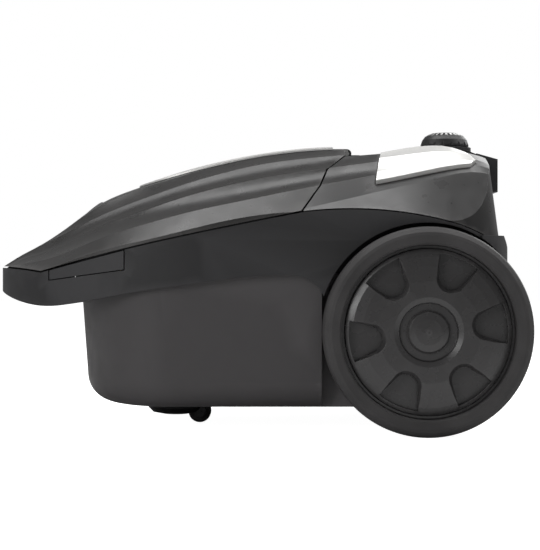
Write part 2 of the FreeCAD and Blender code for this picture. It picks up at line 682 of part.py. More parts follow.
def knob():
    """Tapered dial with a sloping shoulder, a small flat top and a grooved skirt."""
    z0, r, high = KNOB_BASE_Z, KNOB_RADIUS, KNOB_HEIGHT
    profile = [(0, 0), (r, 0), (r, high * 0.15), (r - 1.4, high * 0.5), (KNOB_SHOULDER, high * 0.77),
               (KNOB_TOP_RADIUS, high), (0, high)]
    body = turned(profile, (KNOB_X, 0, z0), (0, 0, 1), (1, 0, 0))
    grips = []
    for n in range(18):
        angle = math.radians(20 * n)
        x = KNOB_X + (KNOB_RADIUS + 0.6) * math.cos(angle)
        y = (KNOB_RADIUS + 0.6) * math.sin(angle)
        grips.append(rod(1.3, (x, y, z0 - 1), (x, y, z0 + KNOB_HEIGHT * 0.5)))
    socket = rod(SPINDLE_RADIUS + SEAT_GAP, (KNOB_X, 0, z0 - 1), (KNOB_X, 0, z0 + 8))
    return cut_all(body, grips + [socket])


def knob_base():
    z = KNOB_BASE_Z - MOVE_GAP
    plinth = rod(KNOB_RADIUS + 2.0, (KNOB_X, 0, 225), (KNOB_X, 0, z))
    tail = KNOB_X + KNOB_TAIL
    ramp = side_polygon([(KNOB_X, 225), (KNOB_X, z), (KNOB_X + 10, z), (tail, 238.2), (tail, 225)], 17)
    return cut_all(fused([plinth, ramp]), [COVER_CLEAR, spindle_hole()])


def parking_bracket():
    """Slotted block on the rear wall that a floor head's rib drops into."""
    x1, top = PARK_X, 238.0
    block = side_polygon([(180, 204), (180, top), (x1 - 18, top), (x1, top - 5), (x1, 204)], PARK_HALF)
    slot = box(x1 - 3 - PARK_SLOT, x1 - 3, -PARK_HALF + 4, PARK_HALF - 4, 190, 260)
    behind = box(170, KNOB_X + KNOB_TAIL + SEAT_GAP, -60, 60, 225, 260)
    return cut_all(block, [COVER_CLEAR, slot, behind])


def cord_outlet_bushing():
    y, z = CORD_OUTLET_Y, CORD_OUTLET_Z
    sleeve = rod(CORD_BORE + 3.0, (TAIL_X - 13, y, z), (TAIL_X - 1, y, z))
    flange = rod(CORD_BORE + 6.0, (TAIL_X - 6, y, z), (TAIL_X, y, z)).cut(COVER_CLEAR)
    body = fused([sleeve, flange])
    return body.cut(rod(CORD_BORE, (TAIL_X - 30, y, z), (TAIL_X + 30, y, z)))


save("rear_cover", rear_cover())
power_pedal = pedal()
push_rod = rod(PUSH_ROD_RADIUS, stem_point(PUSH_ROD_END), stem_point(STEM_END + 4))
save("power_pedal", power_pedal)
save("rewind_pedal", mirrored(fused([power_pedal, push_rod])))
save("power_knob", knob())
save("knob_base", knob_base())
save("parking_bracket", parking_bracket())
save("cord_outlet_bushing", cord_outlet_bushing())
pedal_spring = coil_pair(8.0, 0.6, 3.2, 3.6, stem_point(GUIDE_TOP + SPRING_SEAT), PUSH_OUT)
save("pedal_springs", *pedal_spring)


# ---------------------------------------------------------------- chassis band, tub and deck
def well_rod(grow, y0, y1):
    radius = WHEEL_RADIUS + WELL_GAP + grow
    return both(rod(radius, (WHEEL_X, -y1, WHEEL_RADIUS), (WHEEL_X, -y0, WHEEL_RADIUS)))


def tab_prism(grow):
    corners = [Vector(x, 0, z) for x, z in TAB_OUTLINE]
    outline = Part.makePolygon(corners + corners[:1])
    if grow:
        outline = outline.makeOffset2D(grow, 0, False, False, True)
    face = Part.Face(outline)
    face.translate(Vector(0, -300, 0))
    return face.extrude(Vector(0, 600, 0))


SCREWS = [(x, side * y) for side in (1, -1) for x, y in ((-95, 107), (28, 109), (66, 86), (178, 86))]


def seal_lip():
    """Lip inside the band's top edge: the lid's seal comes down on it."""
    ring = band_prism(WALL - 0.5).cut(band_prism(WALL + 6.5))
    root = ring.common(lid_zone(-3.0, 8.0)).cut(lid_zone(-SEAM / 2, 0))
    top = ring.common(lid_hull(WALL + SEAT_GAP)).common(lid_zone(-SEAM, 8.0))
    return root.fuse(top.cut(lid_zone(SEAM / 2 + SEAL_RISE - SEAT_GAP, 8.0)))


def nose_web():
    """Upright stiffener along the middle of the nose, under the lid."""
    low = shifted(BAND_LOWER[1:4], 0, WALL * 0.6)
    high = [(low[-1][0], DECK_Z), (low[0][0], DECK_Z)]
    web = side_polygon(low + high, WALL / 2).common(band_prism(WALL / 2))
    return web.common(lid_hull(WALL + SEAT_GAP)).cut(lid_seal())


def bumper():
    """Strip round the rear of the band, with a sloping top behind the cover."""
    low, high = TUB_RIM_Z + SEAT_GAP, BUMPER_TOP_Z
    ring = bow_outline(low, NOSE_X, BOW_X - NOSE_X, HALF_WIDTH, BUMPER_X, TAIL_CORNER)
    body = Part.Face(ring).extrude(Vector(0, 0, 60))
    profile = [(TAIL_X - 20, low), (TAIL_X - 20, high), (TAIL_X + 1, high),
               (BUMPER_X, high - BUMPER_SLOPE), (BUMPER_X, low)]
    cover_room = COVER_CLEAR.common(cover_zone(-SEAT_GAP / 2, 0))
    return body.common(side_polygon(profile)).cut(BAND_IN).cut(cover_room)


def chassis_band():
    rim = TUB_RIM_Z + SEAT_GAP
    above = TUB_RIM_Z + LEDGE
    zone = band_zone(SEAM / 2)
    wall = BAND_OUT.common(zone).cut(BAND_IN).fuse(bumper())
    floor = BAND_OUT.common(lower_strip(WALL)).common(box(NOSE_X - 5, -120, -200, 200, 90, 140))
    floor = floor.cut(tub_clearance())
    ledge = band_prism(WALL / 2).common(box(NOSE_X + 62, TAIL_X, -200, 200, rim, above))
    ledge = ledge.cut(tub_hull_prism(WALL + 4))
    outer_cups = well_rod(WALL, RECESS_HALF - WALL, HALF_WIDTH - 0.5)
    inner_cups = well_rod(0, RECESS_HALF, HALF_WIDTH + 60)
    liner = []
    for cup, hollow in zip(outer_cups, inner_cups):
        arch = cup.common(box(0, TAIL_X - 2, -200, 200, rim, DECK_Z)).common(band_prism(WALL / 2))
        liner.append(arch.cut(hollow))
        wall = wall.cut(hollow)
        ledge = ledge.cut(hollow)
    ears = [rod(6.5, (x, y, rim), (x, y, above)) for x, y in SCREWS]
    body = fused([wall, floor, ledge, seal_lip(), nose_web()] + liner + ears)
    cuts = [tab_prism(MOVE_GAP).cut(band_prism(WALL + TAB_TRAVEL + 1.5))]
    cuts += [rod(2.2, (x, y, rim - 1), (x, y, above + 1)) for x, y in SCREWS]
    body = cut_all(body, cuts)
    guides = []
    for sign in (1, -1):
        block = box(-141, -123, min(sign * 88, sign * 96), max(sign * 88, sign * 96), above, above + 8.5)
        way = box(-136 - SEAT_GAP, -128 + SEAT_GAP, -110, 110, above + 1 - SEAT_GAP, above + 6 + SEAT_GAP)
        stop_y = sorted((sign * (TAB_STOP - 3), sign * TAB_STOP))
        stop = box(-141, -123, stop_y[0], stop_y[1], above, above + 8.5)
        guides += [block.cut(way), stop]
    return fused([body] + guides)


def tub_hull_prism(inset):
    """The tub's plan at its rim, as an upright prism."""
    ring = bow_outline(100, TUB_FRONT_X + inset, TUB_BOW, TUB_HALF_WIDTH - inset, TUB_REAR_X - inset, 0.0)
    body = Part.Face(ring).extrude(Vector(0, 0, 60))
    wells = both(box(RECESS_X - inset, TAIL_X + 50, RECESS_HALF - inset, HALF_WIDTH + 50, 0, 400))
    return cut_all(body, wells)


def tub_clearance():
    return tub_hull_prism(-SEAT_GAP)


def lower_tub():
    body = TUB_OUT.cut(TUB_IN)
    extras = []
    for x, y in SCREWS:
        boss = rod(5.0, (x, y, 98), (x, y, TUB_RIM_Z)).common(TUB_OUT)
        rib = box(x - 1.2, x + 1.2, min(y, y * 1.3), max(y, y * 1.3), 98, TUB_RIM_Z).common(TUB_OUT)
        extras += [boss, rib]
    extras += both(tube(9.0, AXLE_RADIUS + 0.15, (WHEEL_X, -RECESS_HALF + 0.2, WHEEL_RADIUS),
                        (WHEEL_X, -RECESS_HALF + 12, WHEEL_RADIUS)))
    extras.append(rod(CASTER_PIN_RADIUS + 4, (CASTER_X, 0, TUB_FLOOR_Z), (CASTER_X, 0, CASTER_PIN_TOP + 4)))
    for side in (1, -1):
        y0, y1 = sorted((side * (DOOR_HALF + 1.0), side * (DOOR_HALF + 4.0)))
        extras.append(box(TUB_REAR_X - 1, TUB_REAR_X + 6.5, y0, y1, DOOR_HINGE_Z - 4, DOOR_HINGE_Z + 4))
    cradle = box(CRADLE_X, CRADLE_X + CRADLE_THICK, MOTOR_Y - 26, MOTOR_Y + 26, TUB_FLOOR_Z + 1, MOTOR_Z)
    extras.append(cradle.cut(rod(CRADLE_BORE + SEAT_GAP, (100, MOTOR_Y, MOTOR_Z), (200, MOTOR_Y, MOTOR_Z))))
    post = box(REEL_X - 12, REEL_X + 12, REEL_NEAR_Y - 6.5, REEL_NEAR_Y - 2.5, TUB_FLOOR_Z + 1, REEL_Z + 12)
    boss = rod(10.0, (REEL_X, REEL_FAR_Y + 3, REEL_Z), (REEL_X, RECESS_HALF - 1, REEL_Z))
    seat = rod(REEL_AXLE_RADIUS + SEAT_GAP, (REEL_X, 0, REEL_Z), (REEL_X, RECESS_HALF - 1, REEL_Z))
    extras += [post.cut(seat), boss.cut(seat)]
    body = fused([body] + extras)
    cuts = [rod(1.7, (x, y, 105), (x, y, TUB_RIM_Z + 5)) for x, y in SCREWS]
    cuts += both(rod(AXLE_RADIUS + 0.15, (WHEEL_X, -RECESS_HALF - 5, WHEEL_RADIUS),
                     (WHEEL_X, -60, WHEEL_RADIUS)))
    cuts.append(rod(CASTER_PIN_RADIUS + RUN_FIT, (CASTER_X, 0, 0), (CASTER_X, 0, CASTER_PIN_TOP + 1)))
    half = DOOR_HALF - DOOR_LAP
    low, high = DOOR_LOW_Z + 5, DOOR_HINGE_Z - DOOR_LAP
    cuts.append(box(TUB_REAR_X - 10, TUB_REAR_X + 1, -half, half, low, high))
    cuts.append(door_rod(DOOR_PIN_RADIUS + 0.1, 80))
    return cut_all(body, cuts)


def motor_deck():
    """Lid over the motor room, with the guides of both pedals."""
    top = DECK_Z + DECK_THICK
    plate = band_prism(12.0).common(box(BULKHEAD_X - 3, TUB_REAR_X - 3, -DECK_HALF, DECK_HALF, DECK_Z, top))
    body = [plate]
    for sign in (1, -1):
        guide = rod(STEM_RADIUS + 3.5, stem_point(GUIDE_LOW), stem_point(GUIDE_TOP))
        foot = stem_point(GUIDE_LOW + 4)
        block = box(STEM_X - 8, STEM_X + 8, foot.y - 7, foot.y + 7, top - 1, foot.z)
        pieces = [guide, block]
        body += pieces if sign > 0 else [mirrored(p) for p in pieces]
    ears = [box(LEVER_X - 5, LEVER_X + 5, y, y + 4, LEVER_Z - 4, DECK_Z + 1)
            for y in (LEVER_Y0 - 4.4, LEVER_Y1 + 0.4)]
    body = fused(body + ears)
    bottom = stem_point(STEM_END - PEDAL_TRAVEL - 1.5)
    cuts = both(rod(STEM_RADIUS + SEAT_GAP, bottom, stem_point(GUIDE_TOP + 5)))
    rod_way = rod(PUSH_ROD_RADIUS + MOVE_GAP, stem_point(PUSH_ROD_END - 6), stem_point(GUIDE_TOP))
    cuts.append(mirrored(rod_way))
    cuts.append(lever_rod(LEVER_PIN_RADIUS + RUN_FIT, 10))
    return cut_all(body, cuts)


def brake_lever():
    """Rocker under the deck: the pedal's rod pushes its rear end, its front roller leaves the reel."""
    bar = box(92, 148, LEVER_Y0, LEVER_Y1, LEVER_Z - 2, LEVER_Z + 2)
    roller_r = 4.0
    roller_x = 95.0
    reach = REEL_RADIUS + roller_r + 0.4
    roller_z = REEL_Z + math.sqrt(reach ** 2 - (REEL_X - roller_x) ** 2)
    roller = rod(roller_r, (roller_x, REEL_NEAR_Y - 0.5, roller_z), (roller_x, LEVER_Y0 + 4, roller_z))
    hub = lever_rod(4.0, 0)
    body = fused([bar, roller, hub])
    return body.cut(lever_rod(LEVER_PIN_RADIUS + RUN_FIT, 10))


def release_tab():
    """Left-hand squeeze tab that frees the lid: a flush plate on a guided stem."""
    plate = band_prism(0.4).common(tab_prism(0)).cut(band_prism(WALL + 0.4))
    plate = plate.common(box(-200, 0, -200, 0, 100, 160))
    above = TUB_RIM_Z + LEDGE
    stem = box(-136, -128, -120, -TAB_STEM_END, above + 1, above + 6).common(band_prism(WALL / 2))
    return fused([plate, stem])


def release_spring():
    """Left-hand leaf spring, folded between the tab's stem and the band's stop."""
    above = TUB_RIM_Z + LEDGE
    near = LEAF_THICK / 2 + SEAT_GAP
    stop, stem = TAB_STOP + near, TAB_STEM_END - near
    folds = ((stop, 1), (stop, 7), (stem, 3.4), (stem - 0.6, 1.6))
    path = Part.makePolygon([Vector(-134.5, -y, above + up) for y, up in folds])
    outline = path.makeOffset2D(LEAF_THICK / 2, 0, False, False, False)
    return Part.Face(outline).extrude(Vector(5, 0, 0))


save("chassis_band", chassis_band())
save("lower_tub", lower_tub())
save("motor_deck", motor_deck())
save("reel_brake_lever", brake_lever())
save("brake_lever_pin", lever_rod(LEVER_PIN_RADIUS, 4.4))
save("release_tab_left", release_tab())
save("release_tab_right", mirrored(release_tab()))
save("release_springs", *both(release_spring()))
screw = fused([rod(1.6, (0, 0, -18), (0, 0, 0)), rod(3.6, (0, 0, 0), (0, 0, 2.2))])
screws = []
for x, y in SCREWS:
    piece = screw.copy()
    piece.translate(Vector(x, y, TUB_RIM_Z + LEDGE))
    screws.append(piece)
save("casing_screws", *screws)


# ---------------------------------------------------------------- rear wheels
def wheel_turned(profile):
    """Turned about the left wheel's axle: points are (radius, distance from the centre plane)."""
    return turned(profile, (WHEEL_X, 0, WHEEL_RADIUS), (0, -1, 0), (1, 0, 0))


WHEEL_IN_Y = WHEEL_FACE_Y - WHEEL_WIDTH
TYRE_BORE = WHEEL_RADIUS - TYRE_DEPTH
RIM_RADIUS = TYRE_BORE - SEAT_GAP
HUB_FACE_Y = WHEEL_FACE_Y - 4.0
WEB_Y = HUB_FACE_Y - POCKET_DEPTH - 3.5


def tyre():
    face, back = WHEEL_FACE_Y, WHEEL_IN_Y
    outer = WHEEL_RADIUS
    profile = [(TYRE_BORE, back), (outer - 5, back), (outer - 1.2, back + 1.6), (outer, back + 6),
               (outer, face - 8), (outer - 1.4, face - 3.2), (outer - 4.6, face - 0.6), (outer - 7, face),
               (TYRE_BORE + 1.6, face - 1.2), (TYRE_BORE, face - 3)]
    return wheel_turned(profile)


def pocket(lift, grow):
    """Outline of one pocket between two spokes, pointing along +X from the axle."""
    outer, inner = POCKET_OUTER + grow * 0.3, POCKET_INNER - grow
    half = POCKET_HALF + grow
    edge_x = math.sqrt(outer ** 2 - half ** 2)
    neck = half * 0.62
    shoulder = inner + neck * 0.8
    y = -lift
    p = [Vector(edge_x, y, -half), Vector(edge_x, y, half),
         Vector(shoulder, y, neck), Vector(shoulder, y, -neck)]
    rim = Part.Arc(p[0], Vector(outer, y, 0), p[1]).toShape()
    toe = Part.Arc(p[2], Vector(inner, y, 0), p[3]).toShape()
    return Part.Wire([rim, line(p[1], p[2]), toe, line(p[3], p[0])])


def wheel_hub():
    face, web = HUB_FACE_Y, WEB_Y
    rim = RIM_RADIUS
    bore = AXLE_RADIUS + RUN_FIT
    profile = [(bore, WHEEL_IN_Y - 1), (bore + 6, WHEEL_IN_Y - 1), (bore + 6, web), (rim - 3.5, web),
               (rim - 3.5, WHEEL_IN_Y + 2), (rim, WHEEL_IN_Y + 2), (rim, face - 7.5),
               (STAR_RADIUS + 0.8, face - 7.5), (STAR_RADIUS, face - 5), (STAR_RADIUS - 6, face - 2.6),
               (STAR_RADIUS - 14, face - 1), (STAR_RADIUS - 26, face), (HUB_RECESS + 4, face),
               (HUB_RECESS, face - 1.6), (HUB_RECESS - 1, face - 4.5), (CAP_RADIUS - 1.5, face - 4.5),
               (CAP_RADIUS - 1.5, web + 4), (bore, web + 4)]
    hub = wheel_turned(profile)
    floor_y = face - POCKET_DEPTH
    tools = []
    for n in range(SPOKES):
        well = Part.makeLoft([pocket(floor_y, 0), pocket(face - POCKET_BEVEL, 0.4)], True, True)
        mouth = [pocket(face - POCKET_BEVEL, 0.4), pocket(face + 1.5, POCKET_BEVEL + 1.9)]
        tool = well.fuse(Part.makeLoft(mouth, True, True))
        tool.rotate(Vector(0, 0, 0), Vector(0, 1, 0), -(SPOKE_TURN + 360.0 / SPOKES * n))
        tool.translate(Vector(WHEEL_X, 0, WHEEL_RADIUS))
        tools.append(tool)
    return cut_all(hub, tools)


def hub_cap():
    base = HUB_FACE_Y - 4.5 + SEAT_GAP
    r = CAP_RADIUS
    profile = [(0, base), (r, base), (r, base + 1.6), (r - 1.8, base + 3.6), (r * 0.6, base + 4.7),
               (0, base + 5.2)]
    skirt_out = CAP_RADIUS - 1.5 - SEAT_GAP
    skirt_in = skirt_out - 1.6
    skirt = [(skirt_in, base - 4), (skirt_out, base - 4), (skirt_out, base + 0.5), (skirt_in, base + 0.5)]
    return fused([wheel_turned(profile), wheel_turned(skirt)])


CLIP_Y = WEB_Y + 4 + SEAT_GAP


def axle_stub():
    head = rod(AXLE_RADIUS + 3, (WHEEL_X, -(RECESS_HALF - WALL - 13), WHEEL_RADIUS),
               (WHEEL_X, -(RECESS_HALF - 12 - SEAT_GAP), WHEEL_RADIUS))
    shank = rod(AXLE_RADIUS, (WHEEL_X, -(RECESS_HALF - 14), WHEEL_RADIUS),
                (WHEEL_X, -(CLIP_Y + 3), WHEEL_RADIUS))
    return fused([head, shank])


def wheel_clip():
    return tube(AXLE_RADIUS + 4.0, AXLE_RADIUS + 0.04, (WHEEL_X, -CLIP_Y, WHEEL_RADIUS),
                (WHEEL_X, -(CLIP_Y + 1.4), WHEEL_RADIUS))


for side_name, place in (("left", lambda shape: shape), ("right", mirrored)):
    save("tyre_" + side_name, place(tyre()))
    save("wheel_hub_" + side_name, place(wheel_hub()))
    save("hub_cap_" + side_name, place(hub_cap()))
    save("axle_stub_" + side_name, place(axle_stub()))
save("wheel_clips", *both(wheel_clip()))


# ---------------------------------------------------------------- caster
CASTER_AXLE_X = CASTER_X + CASTER_TRAIL


def caster_fork():
    """Domed swivel disc with a slot for the wheel and a pin up into the tub."""
    r = CASTER_DISC_RADIUS
    top = TUB_FLOOR_Z - 1.0
    profile = [(0, 7.6), (r * 0.45, 7.6), (r * 0.8, 9.4), (r * 0.96, 13.5), (r, top - 1.5),
               (r - 1, top), (0, top)]
    dome = turned(profile, (CASTER_X, 0, 0), (0, 0, 1), (1, 0, 0))
    pin = rod(CASTER_PIN_RADIUS, (CASTER_X, 0, top - 4), (CASTER_X, 0, CASTER_PIN_TOP))
    z = CASTER_WHEEL_RADIUS
    half = CASTER_WHEEL_HALF + MOVE_GAP
    lug = rod(5.5, (CASTER_AXLE_X, half, z), (CASTER_AXLE_X, half + CASTER_LUG, z))
    web = box(CASTER_AXLE_X - 6, CASTER_AXLE_X + 3, half, half + CASTER_LUG, z, top - 1)
    body = fused([dome, pin] + both(lug) + both(web))
    slot = box(CASTER_AXLE_X - z - 2, CASTER_AXLE_X + 40, -half, half, 0, top + 0.1)
    bore = rod(CASTER_AXLE_RADIUS + 0.04, (CASTER_AXLE_X, -40, z), (CASTER_AXLE_X, 40, z))
    return cut_all(body, [slot, bore])


def caster_wheel():
    r, h = CASTER_WHEEL_RADIUS, CASTER_WHEEL_HALF
    bore = CASTER_AXLE_RADIUS + RUN_FIT
    return turned([(bore, -h), (r - 1.5, -h), (r, -h + 1.5), (r, h - 1.5), (r - 1.5, h), (bore, h)],
                  (CASTER_AXLE_X, 0, r), (0, 1, 0), (1, 0, 0))


save("caster_fork", caster_fork())
save("caster_wheel", caster_wheel())
half_axle = CASTER_WHEEL_HALF + MOVE_GAP + CASTER_LUG
save("caster_axle", rod(CASTER_AXLE_RADIUS, (CASTER_AXLE_X, -half_axle, CASTER_WHEEL_RADIUS),
                        (CASTER_AXLE_X, half_axle, CASTER_WHEEL_RADIUS)))


# ---------------------------------------------------------------- dust room
def bulkhead():
    """Wall between the dust room and the motor room, with a window for the air."""
    x0, x1 = BULKHEAD_X - WALL, BULKHEAD_X
    slab = box(x0, x1, -200, 200, TUB_FLOOR_Z, TUB_RIM_Z)
    lower = slab.common(tub_hull(WALL + SEAT_GAP))
    upper = box(x0, x1, -105, 105, TUB_RIM_Z - 1, DECK_Z - SEAT_GAP)
    window = rod(40.0, (x0 - 5, MOTOR_Y, MOTOR_Z), (x1 + 5, MOTOR_Y, MOTOR_Z))
    return cut_all(fused([lower, upper]), [window])


def filter_frame():
    """Cassette on the dust side of the bulkhead: a frame with bars in front of the pad."""
    x1 = BULKHEAD_X - WALL - SEAT_GAP
    x0 = x1 - FRAME_THICK
    y0, y1 = MOTOR_Y - FILTER_HALF, MOTOR_Y + FILTER_HALF
    z0, z1 = MOTOR_Z - FILTER_HALF, MOTOR_Z + FILTER_HALF
    body = box(x0, x1, y0, y1, z0, z1).cut(box(x0 + 3, x1 + 1, y0 + 3, y1 - 3, z0 + 3, z1 - 3))
    slots = []
    for n in range(6):
        z = z0 + 9 + n * (2 * FILTER_HALF - 18) / 5
        slots.append(box(x0 - 1, x0 + 4, y0 + 8, y1 - 8, z - 4.2, z + 4.2))
    return cut_all(body, slots)


def pre_motor_filter():
    x1 = BULKHEAD_X - WALL - SEAT_GAP
    room = FILTER_HALF - 3 - SEAT_GAP
    x0 = x1 - FRAME_THICK + 3 + SEAT_GAP
    return box(x0, x1 - SEAT_GAP, MOTOR_Y - room, MOTOR_Y + room, MOTOR_Z - room, MOTOR_Z + room)


PLATE_TOP = -PORT_LENGTH - PORT_SEAL - 0.5     # the card plate's face, along the port's axis


def tilted_plate(along, thick, half_width, low, high):
    """Flat plate square to the port's axis, between two distances up its slope."""
    corners = []
    for up, y in ((low, -half_width), (high, -half_width), (high, half_width), (low, half_width)):
        corners.append(PORT + PORT_AXIS * along + PORT_UP * up + Vector(0, y, 0))
    face = Part.Face(Part.makePolygon(corners + corners[:1]))
    return face.extrude(PORT_AXIS * -thick)


def bag_collar():
    plate = tilted_plate(PLATE_TOP, PLATE_THICK, PLATE_HALF, HOLDER_LOW + 1, PLATE_HIGH)
    return plate.cut(port_rod(PORT_BORE + 1, -60, 60))


def bag_holder():
    """Cradle that the card plate slides into; its foot stands on the band's flange."""
    under = PLATE_TOP - PLATE_THICK - SEAT_GAP
    outer = PLATE_HALF + 4.0
    high = PLATE_HIGH + 2.0
    rail_half = (outer - PLATE_HALF - SEAT_GAP) / 2
    plate = tilted_plate(under, WALL, outer, HOLDER_LOW, high)
    rails = []
    for side in (-1, 1):
        rail = tilted_plate(PLATE_TOP + 1.5, PLATE_THICK + 2.5 + SEAT_GAP, rail_half, HOLDER_LOW, high)
        rail.translate(Vector(0, side * (outer - rail_half), 0))
        rails.append(rail)
    foot_z = TUB_RIM_Z + LEDGE
    toe = PORT + PORT_AXIS * (under - 1.2) + PORT_UP * (HOLDER_LOW + 2)
    foot = box(toe.x - 5, toe.x + 3, -outer, outer, foot_z, toe.z)
    body = fused([plate, foot] + rails)
    return body.cut(port_rod(PORT_BORE + 5, -60, 60))


def dust_bag():
    """Soft bag, half full, that hangs from its card plate."""
    room = box(TUB_FRONT_X, BULKHEAD_X - WALL - FRAME_THICK - 6, -200, 200, 0, BAG_TOP_Z)
    body = tub_hull(BAG_GAP).common(room)
    neck_top = PLATE_TOP - PLATE_THICK - SEAT_GAP
    neck = port_rod(PORT_BORE + 4, neck_top - 44, neck_top)
    return fused([body, neck])


save("bulkhead", bulkhead())
save("filter_frame", filter_frame())
save("pre_motor_filter", pre_motor_filter())
save("bag_collar", bag_collar())
save("bag_holder", bag_holder())
save("dust_bag", dust_bag())


# ---------------------------------------------------------------- motor and blower
def motor_turned(profile):
    """Turned about the motor's axis: points are (radius, x)."""
    return turned(profile, (0, MOTOR_Y, MOTOR_Z), (1, 0, 0), (0, 0, 1))


def motor_tube(outer, bore, x0, x1):
    return tube(outer, bore, (x0, MOTOR_Y, MOTOR_Z), (x1, MOTOR_Y, MOTOR_Z))


def around_motor(shape, count, start=0.0):
    copies = []
    for n in range(count):
        copy = shape.copy()
        copy.rotate(Vector(0, MOTOR_Y, MOTOR_Z), Vector(1, 0, 0), start + 360.0 / count * n)
        copies.append(copy)
    return copies


FAN_REAR_X = FAN_FRONT_X + FAN_LENGTH


def fan_cover():
    r, w = FAN_RADIUS, 2.0
    return motor_turned([(EYE_RADIUS, FAN_FRONT_X), (r, FAN_FRONT_X), (r, FAN_REAR_X), (r - w, FAN_REAR_X),
                         (r - w, FAN_FRONT_X + w), (EYE_RADIUS, FAN_FRONT_X + w)])


def motor_housing():
    x0 = FAN_REAR_X + SEAT_GAP
    x1 = MOTOR_REAR_X
    r, w = MOTOR_RADIUS, 3.0
    seat = BEARING_OUTER + SEAT_GAP
    cup = motor_turned([(seat, x0), (FAN_RADIUS, x0), (FAN_RADIUS, x0 + 3), (r, x0 + 3), (r, x1 - 4),
                        (r - 4, x1), (TAIL_BOSS, x1), (TAIL_BOSS, x1 + 8), (6, x1 + 8), (6, x1 + 1),
                        (seat, x1 + 1), (seat, x1 - 7), (20, x1 - 7), (20, x1 - 3), (r - w, x1 - 6),
                        (r - w, x0 + 3), (seat + 5, x0 + 3), (seat + 5, x0 + 8), (seat, x0 + 8)])
    window = box(x0 + 10, x1 - 34, MOTOR_Y - 9, MOTOR_Y + 9, MOTOR_Z + r - 10, MOTOR_Z + r + 5)
    duct = box(x0 - 1, x0 + 4, MOTOR_Y - 8, MOTOR_Y + 8, MOTOR_Z + 22, MOTOR_Z + 36)
    vent = box(x1 - 12, x1 + 2, MOTOR_Y - 6, MOTOR_Y + 6, MOTOR_Z + 24, MOTOR_Z + 34)
    return cut_all(cup, around_motor(window, 4, 45) + around_motor(duct, 6, 30) + around_motor(vent, 6, 30))


def motor_stator():
    core = motor_tube(STATOR_OUTER, STATOR_BORE, ARMATURE[0], ARMATURE[1])
    low = MOTOR_Z + STATOR_BORE - 2
    notch = box(ARMATURE[0] - 1, ARMATURE[1] + 1, MOTOR_Y - 7, MOTOR_Y + 7, low, low + 10)
    return cut_all(core, around_motor(notch, 2, 90))


def field_coils():
    coils = []
    for x0, x1 in ((ARMATURE[0] - 6.3, ARMATURE[0] - 0.3), (ARMATURE[1] + 0.3, ARMATURE[1] + 4.3)):
        coils.append(motor_tube(35.0, 27.0, x0, x1))
    return coils


def motor_rotor():
    shaft = rod(SHAFT_RADIUS, (FAN_FRONT_X + 4, MOTOR_Y, MOTOR_Z), (MOTOR_REAR_X + 0.5, MOTOR_Y, MOTOR_Z))
    core = rod(ARMATURE_RADIUS, (ARMATURE[0], MOTOR_Y, MOTOR_Z), (ARMATURE[1], MOTOR_Y, MOTOR_Z))
    slot = box(ARMATURE[0] - 1, ARMATURE[1] + 1, MOTOR_Y - 1.2, MOTOR_Y + 1.2, MOTOR_Z + 17, MOTOR_Z + 26)
    core = cut_all(core, around_motor(slot, 12))
    commutator = rod(COMMUTATOR_RADIUS, (COMMUTATOR[0], MOTOR_Y, MOTOR_Z), (COMMUTATOR[1], MOTOR_Y, MOTOR_Z))
    return fused([shaft, core, commutator])


def impeller():
    x0, x1 = FAN_FRONT_X + 5, FAN_REAR_X - 6
    r = FAN_RADIUS - 7
    bore = SHAFT_RADIUS + 0.04
    back = motor_turned([(bore, x1 - 12), (10, x1 - 12), (12, x1 - 2), (r, x1 - 2), (r, x1), (bore, x1)])
    front = motor_turned([(EYE_RADIUS - 2, x0), (r, x0 + 10), (r, x0 + 11.5), (EYE_RADIUS - 2, x0 + 1.5)])
    blade = box(x0, x1 - 1, MOTOR_Y - 0.8, MOTOR_Y + 0.8, MOTOR_Z + 11, MOTOR_Z + r - 0.5)
    sweep = [(10, x1 - 1), (10, x0 + 1), (EYE_RADIUS, x0 + 1), (r - 0.2, x0 + 10.6), (r - 0.2, x1 - 1)]
    blade = blade.common(motor_turned(sweep))
    blade.rotate(Vector(0, MOTOR_Y, MOTOR_Z + 24), Vector(1, 0, 0), 24)
    return fused([back, front] + around_motor(blade, 8))


def bearing(x0):
    return motor_tube(BEARING_OUTER, SHAFT_RADIUS + RUN_FIT, x0, x0 + BEARING_LENGTH)


def carbon_brushes():
    gap = COMMUTATOR_RADIUS + 0.4
    mid = (COMMUTATOR[0] + COMMUTATOR[1]) / 2
    holders = []
    for sign in (1, -1):
        z0, z1 = sorted((MOTOR_Z + sign * gap, MOTOR_Z + sign * (MOTOR_RADIUS - 3.4)))
        holders.append(box(mid - 4, mid + 4, MOTOR_Y - 4, MOTOR_Y + 4, z0, z1))
    return holders


save("fan_cover", fan_cover())
save("motor_housing", motor_housing())
save("motor_stator", motor_stator())
save("field_coils", *field_coils())
save("motor_rotor", motor_rotor())
save("impeller", impeller())
save("motor_bearings", bearing(FAN_REAR_X + SEAT_GAP + 0.5), bearing(MOTOR_REAR_X - 6.5))
save("carbon_brushes", *carbon_brushes())
save("motor_mount_front", motor_tube(FAN_RADIUS - 6, 42.0, BULKHEAD_X + SEAT_GAP, FAN_FRONT_X - SEAT_GAP))
save("motor_mount_rear", motor_tube(CRADLE_BORE, TAIL_BOSS + SEAT_GAP, CRADLE_X, CRADLE_X + CRADLE_THICK))


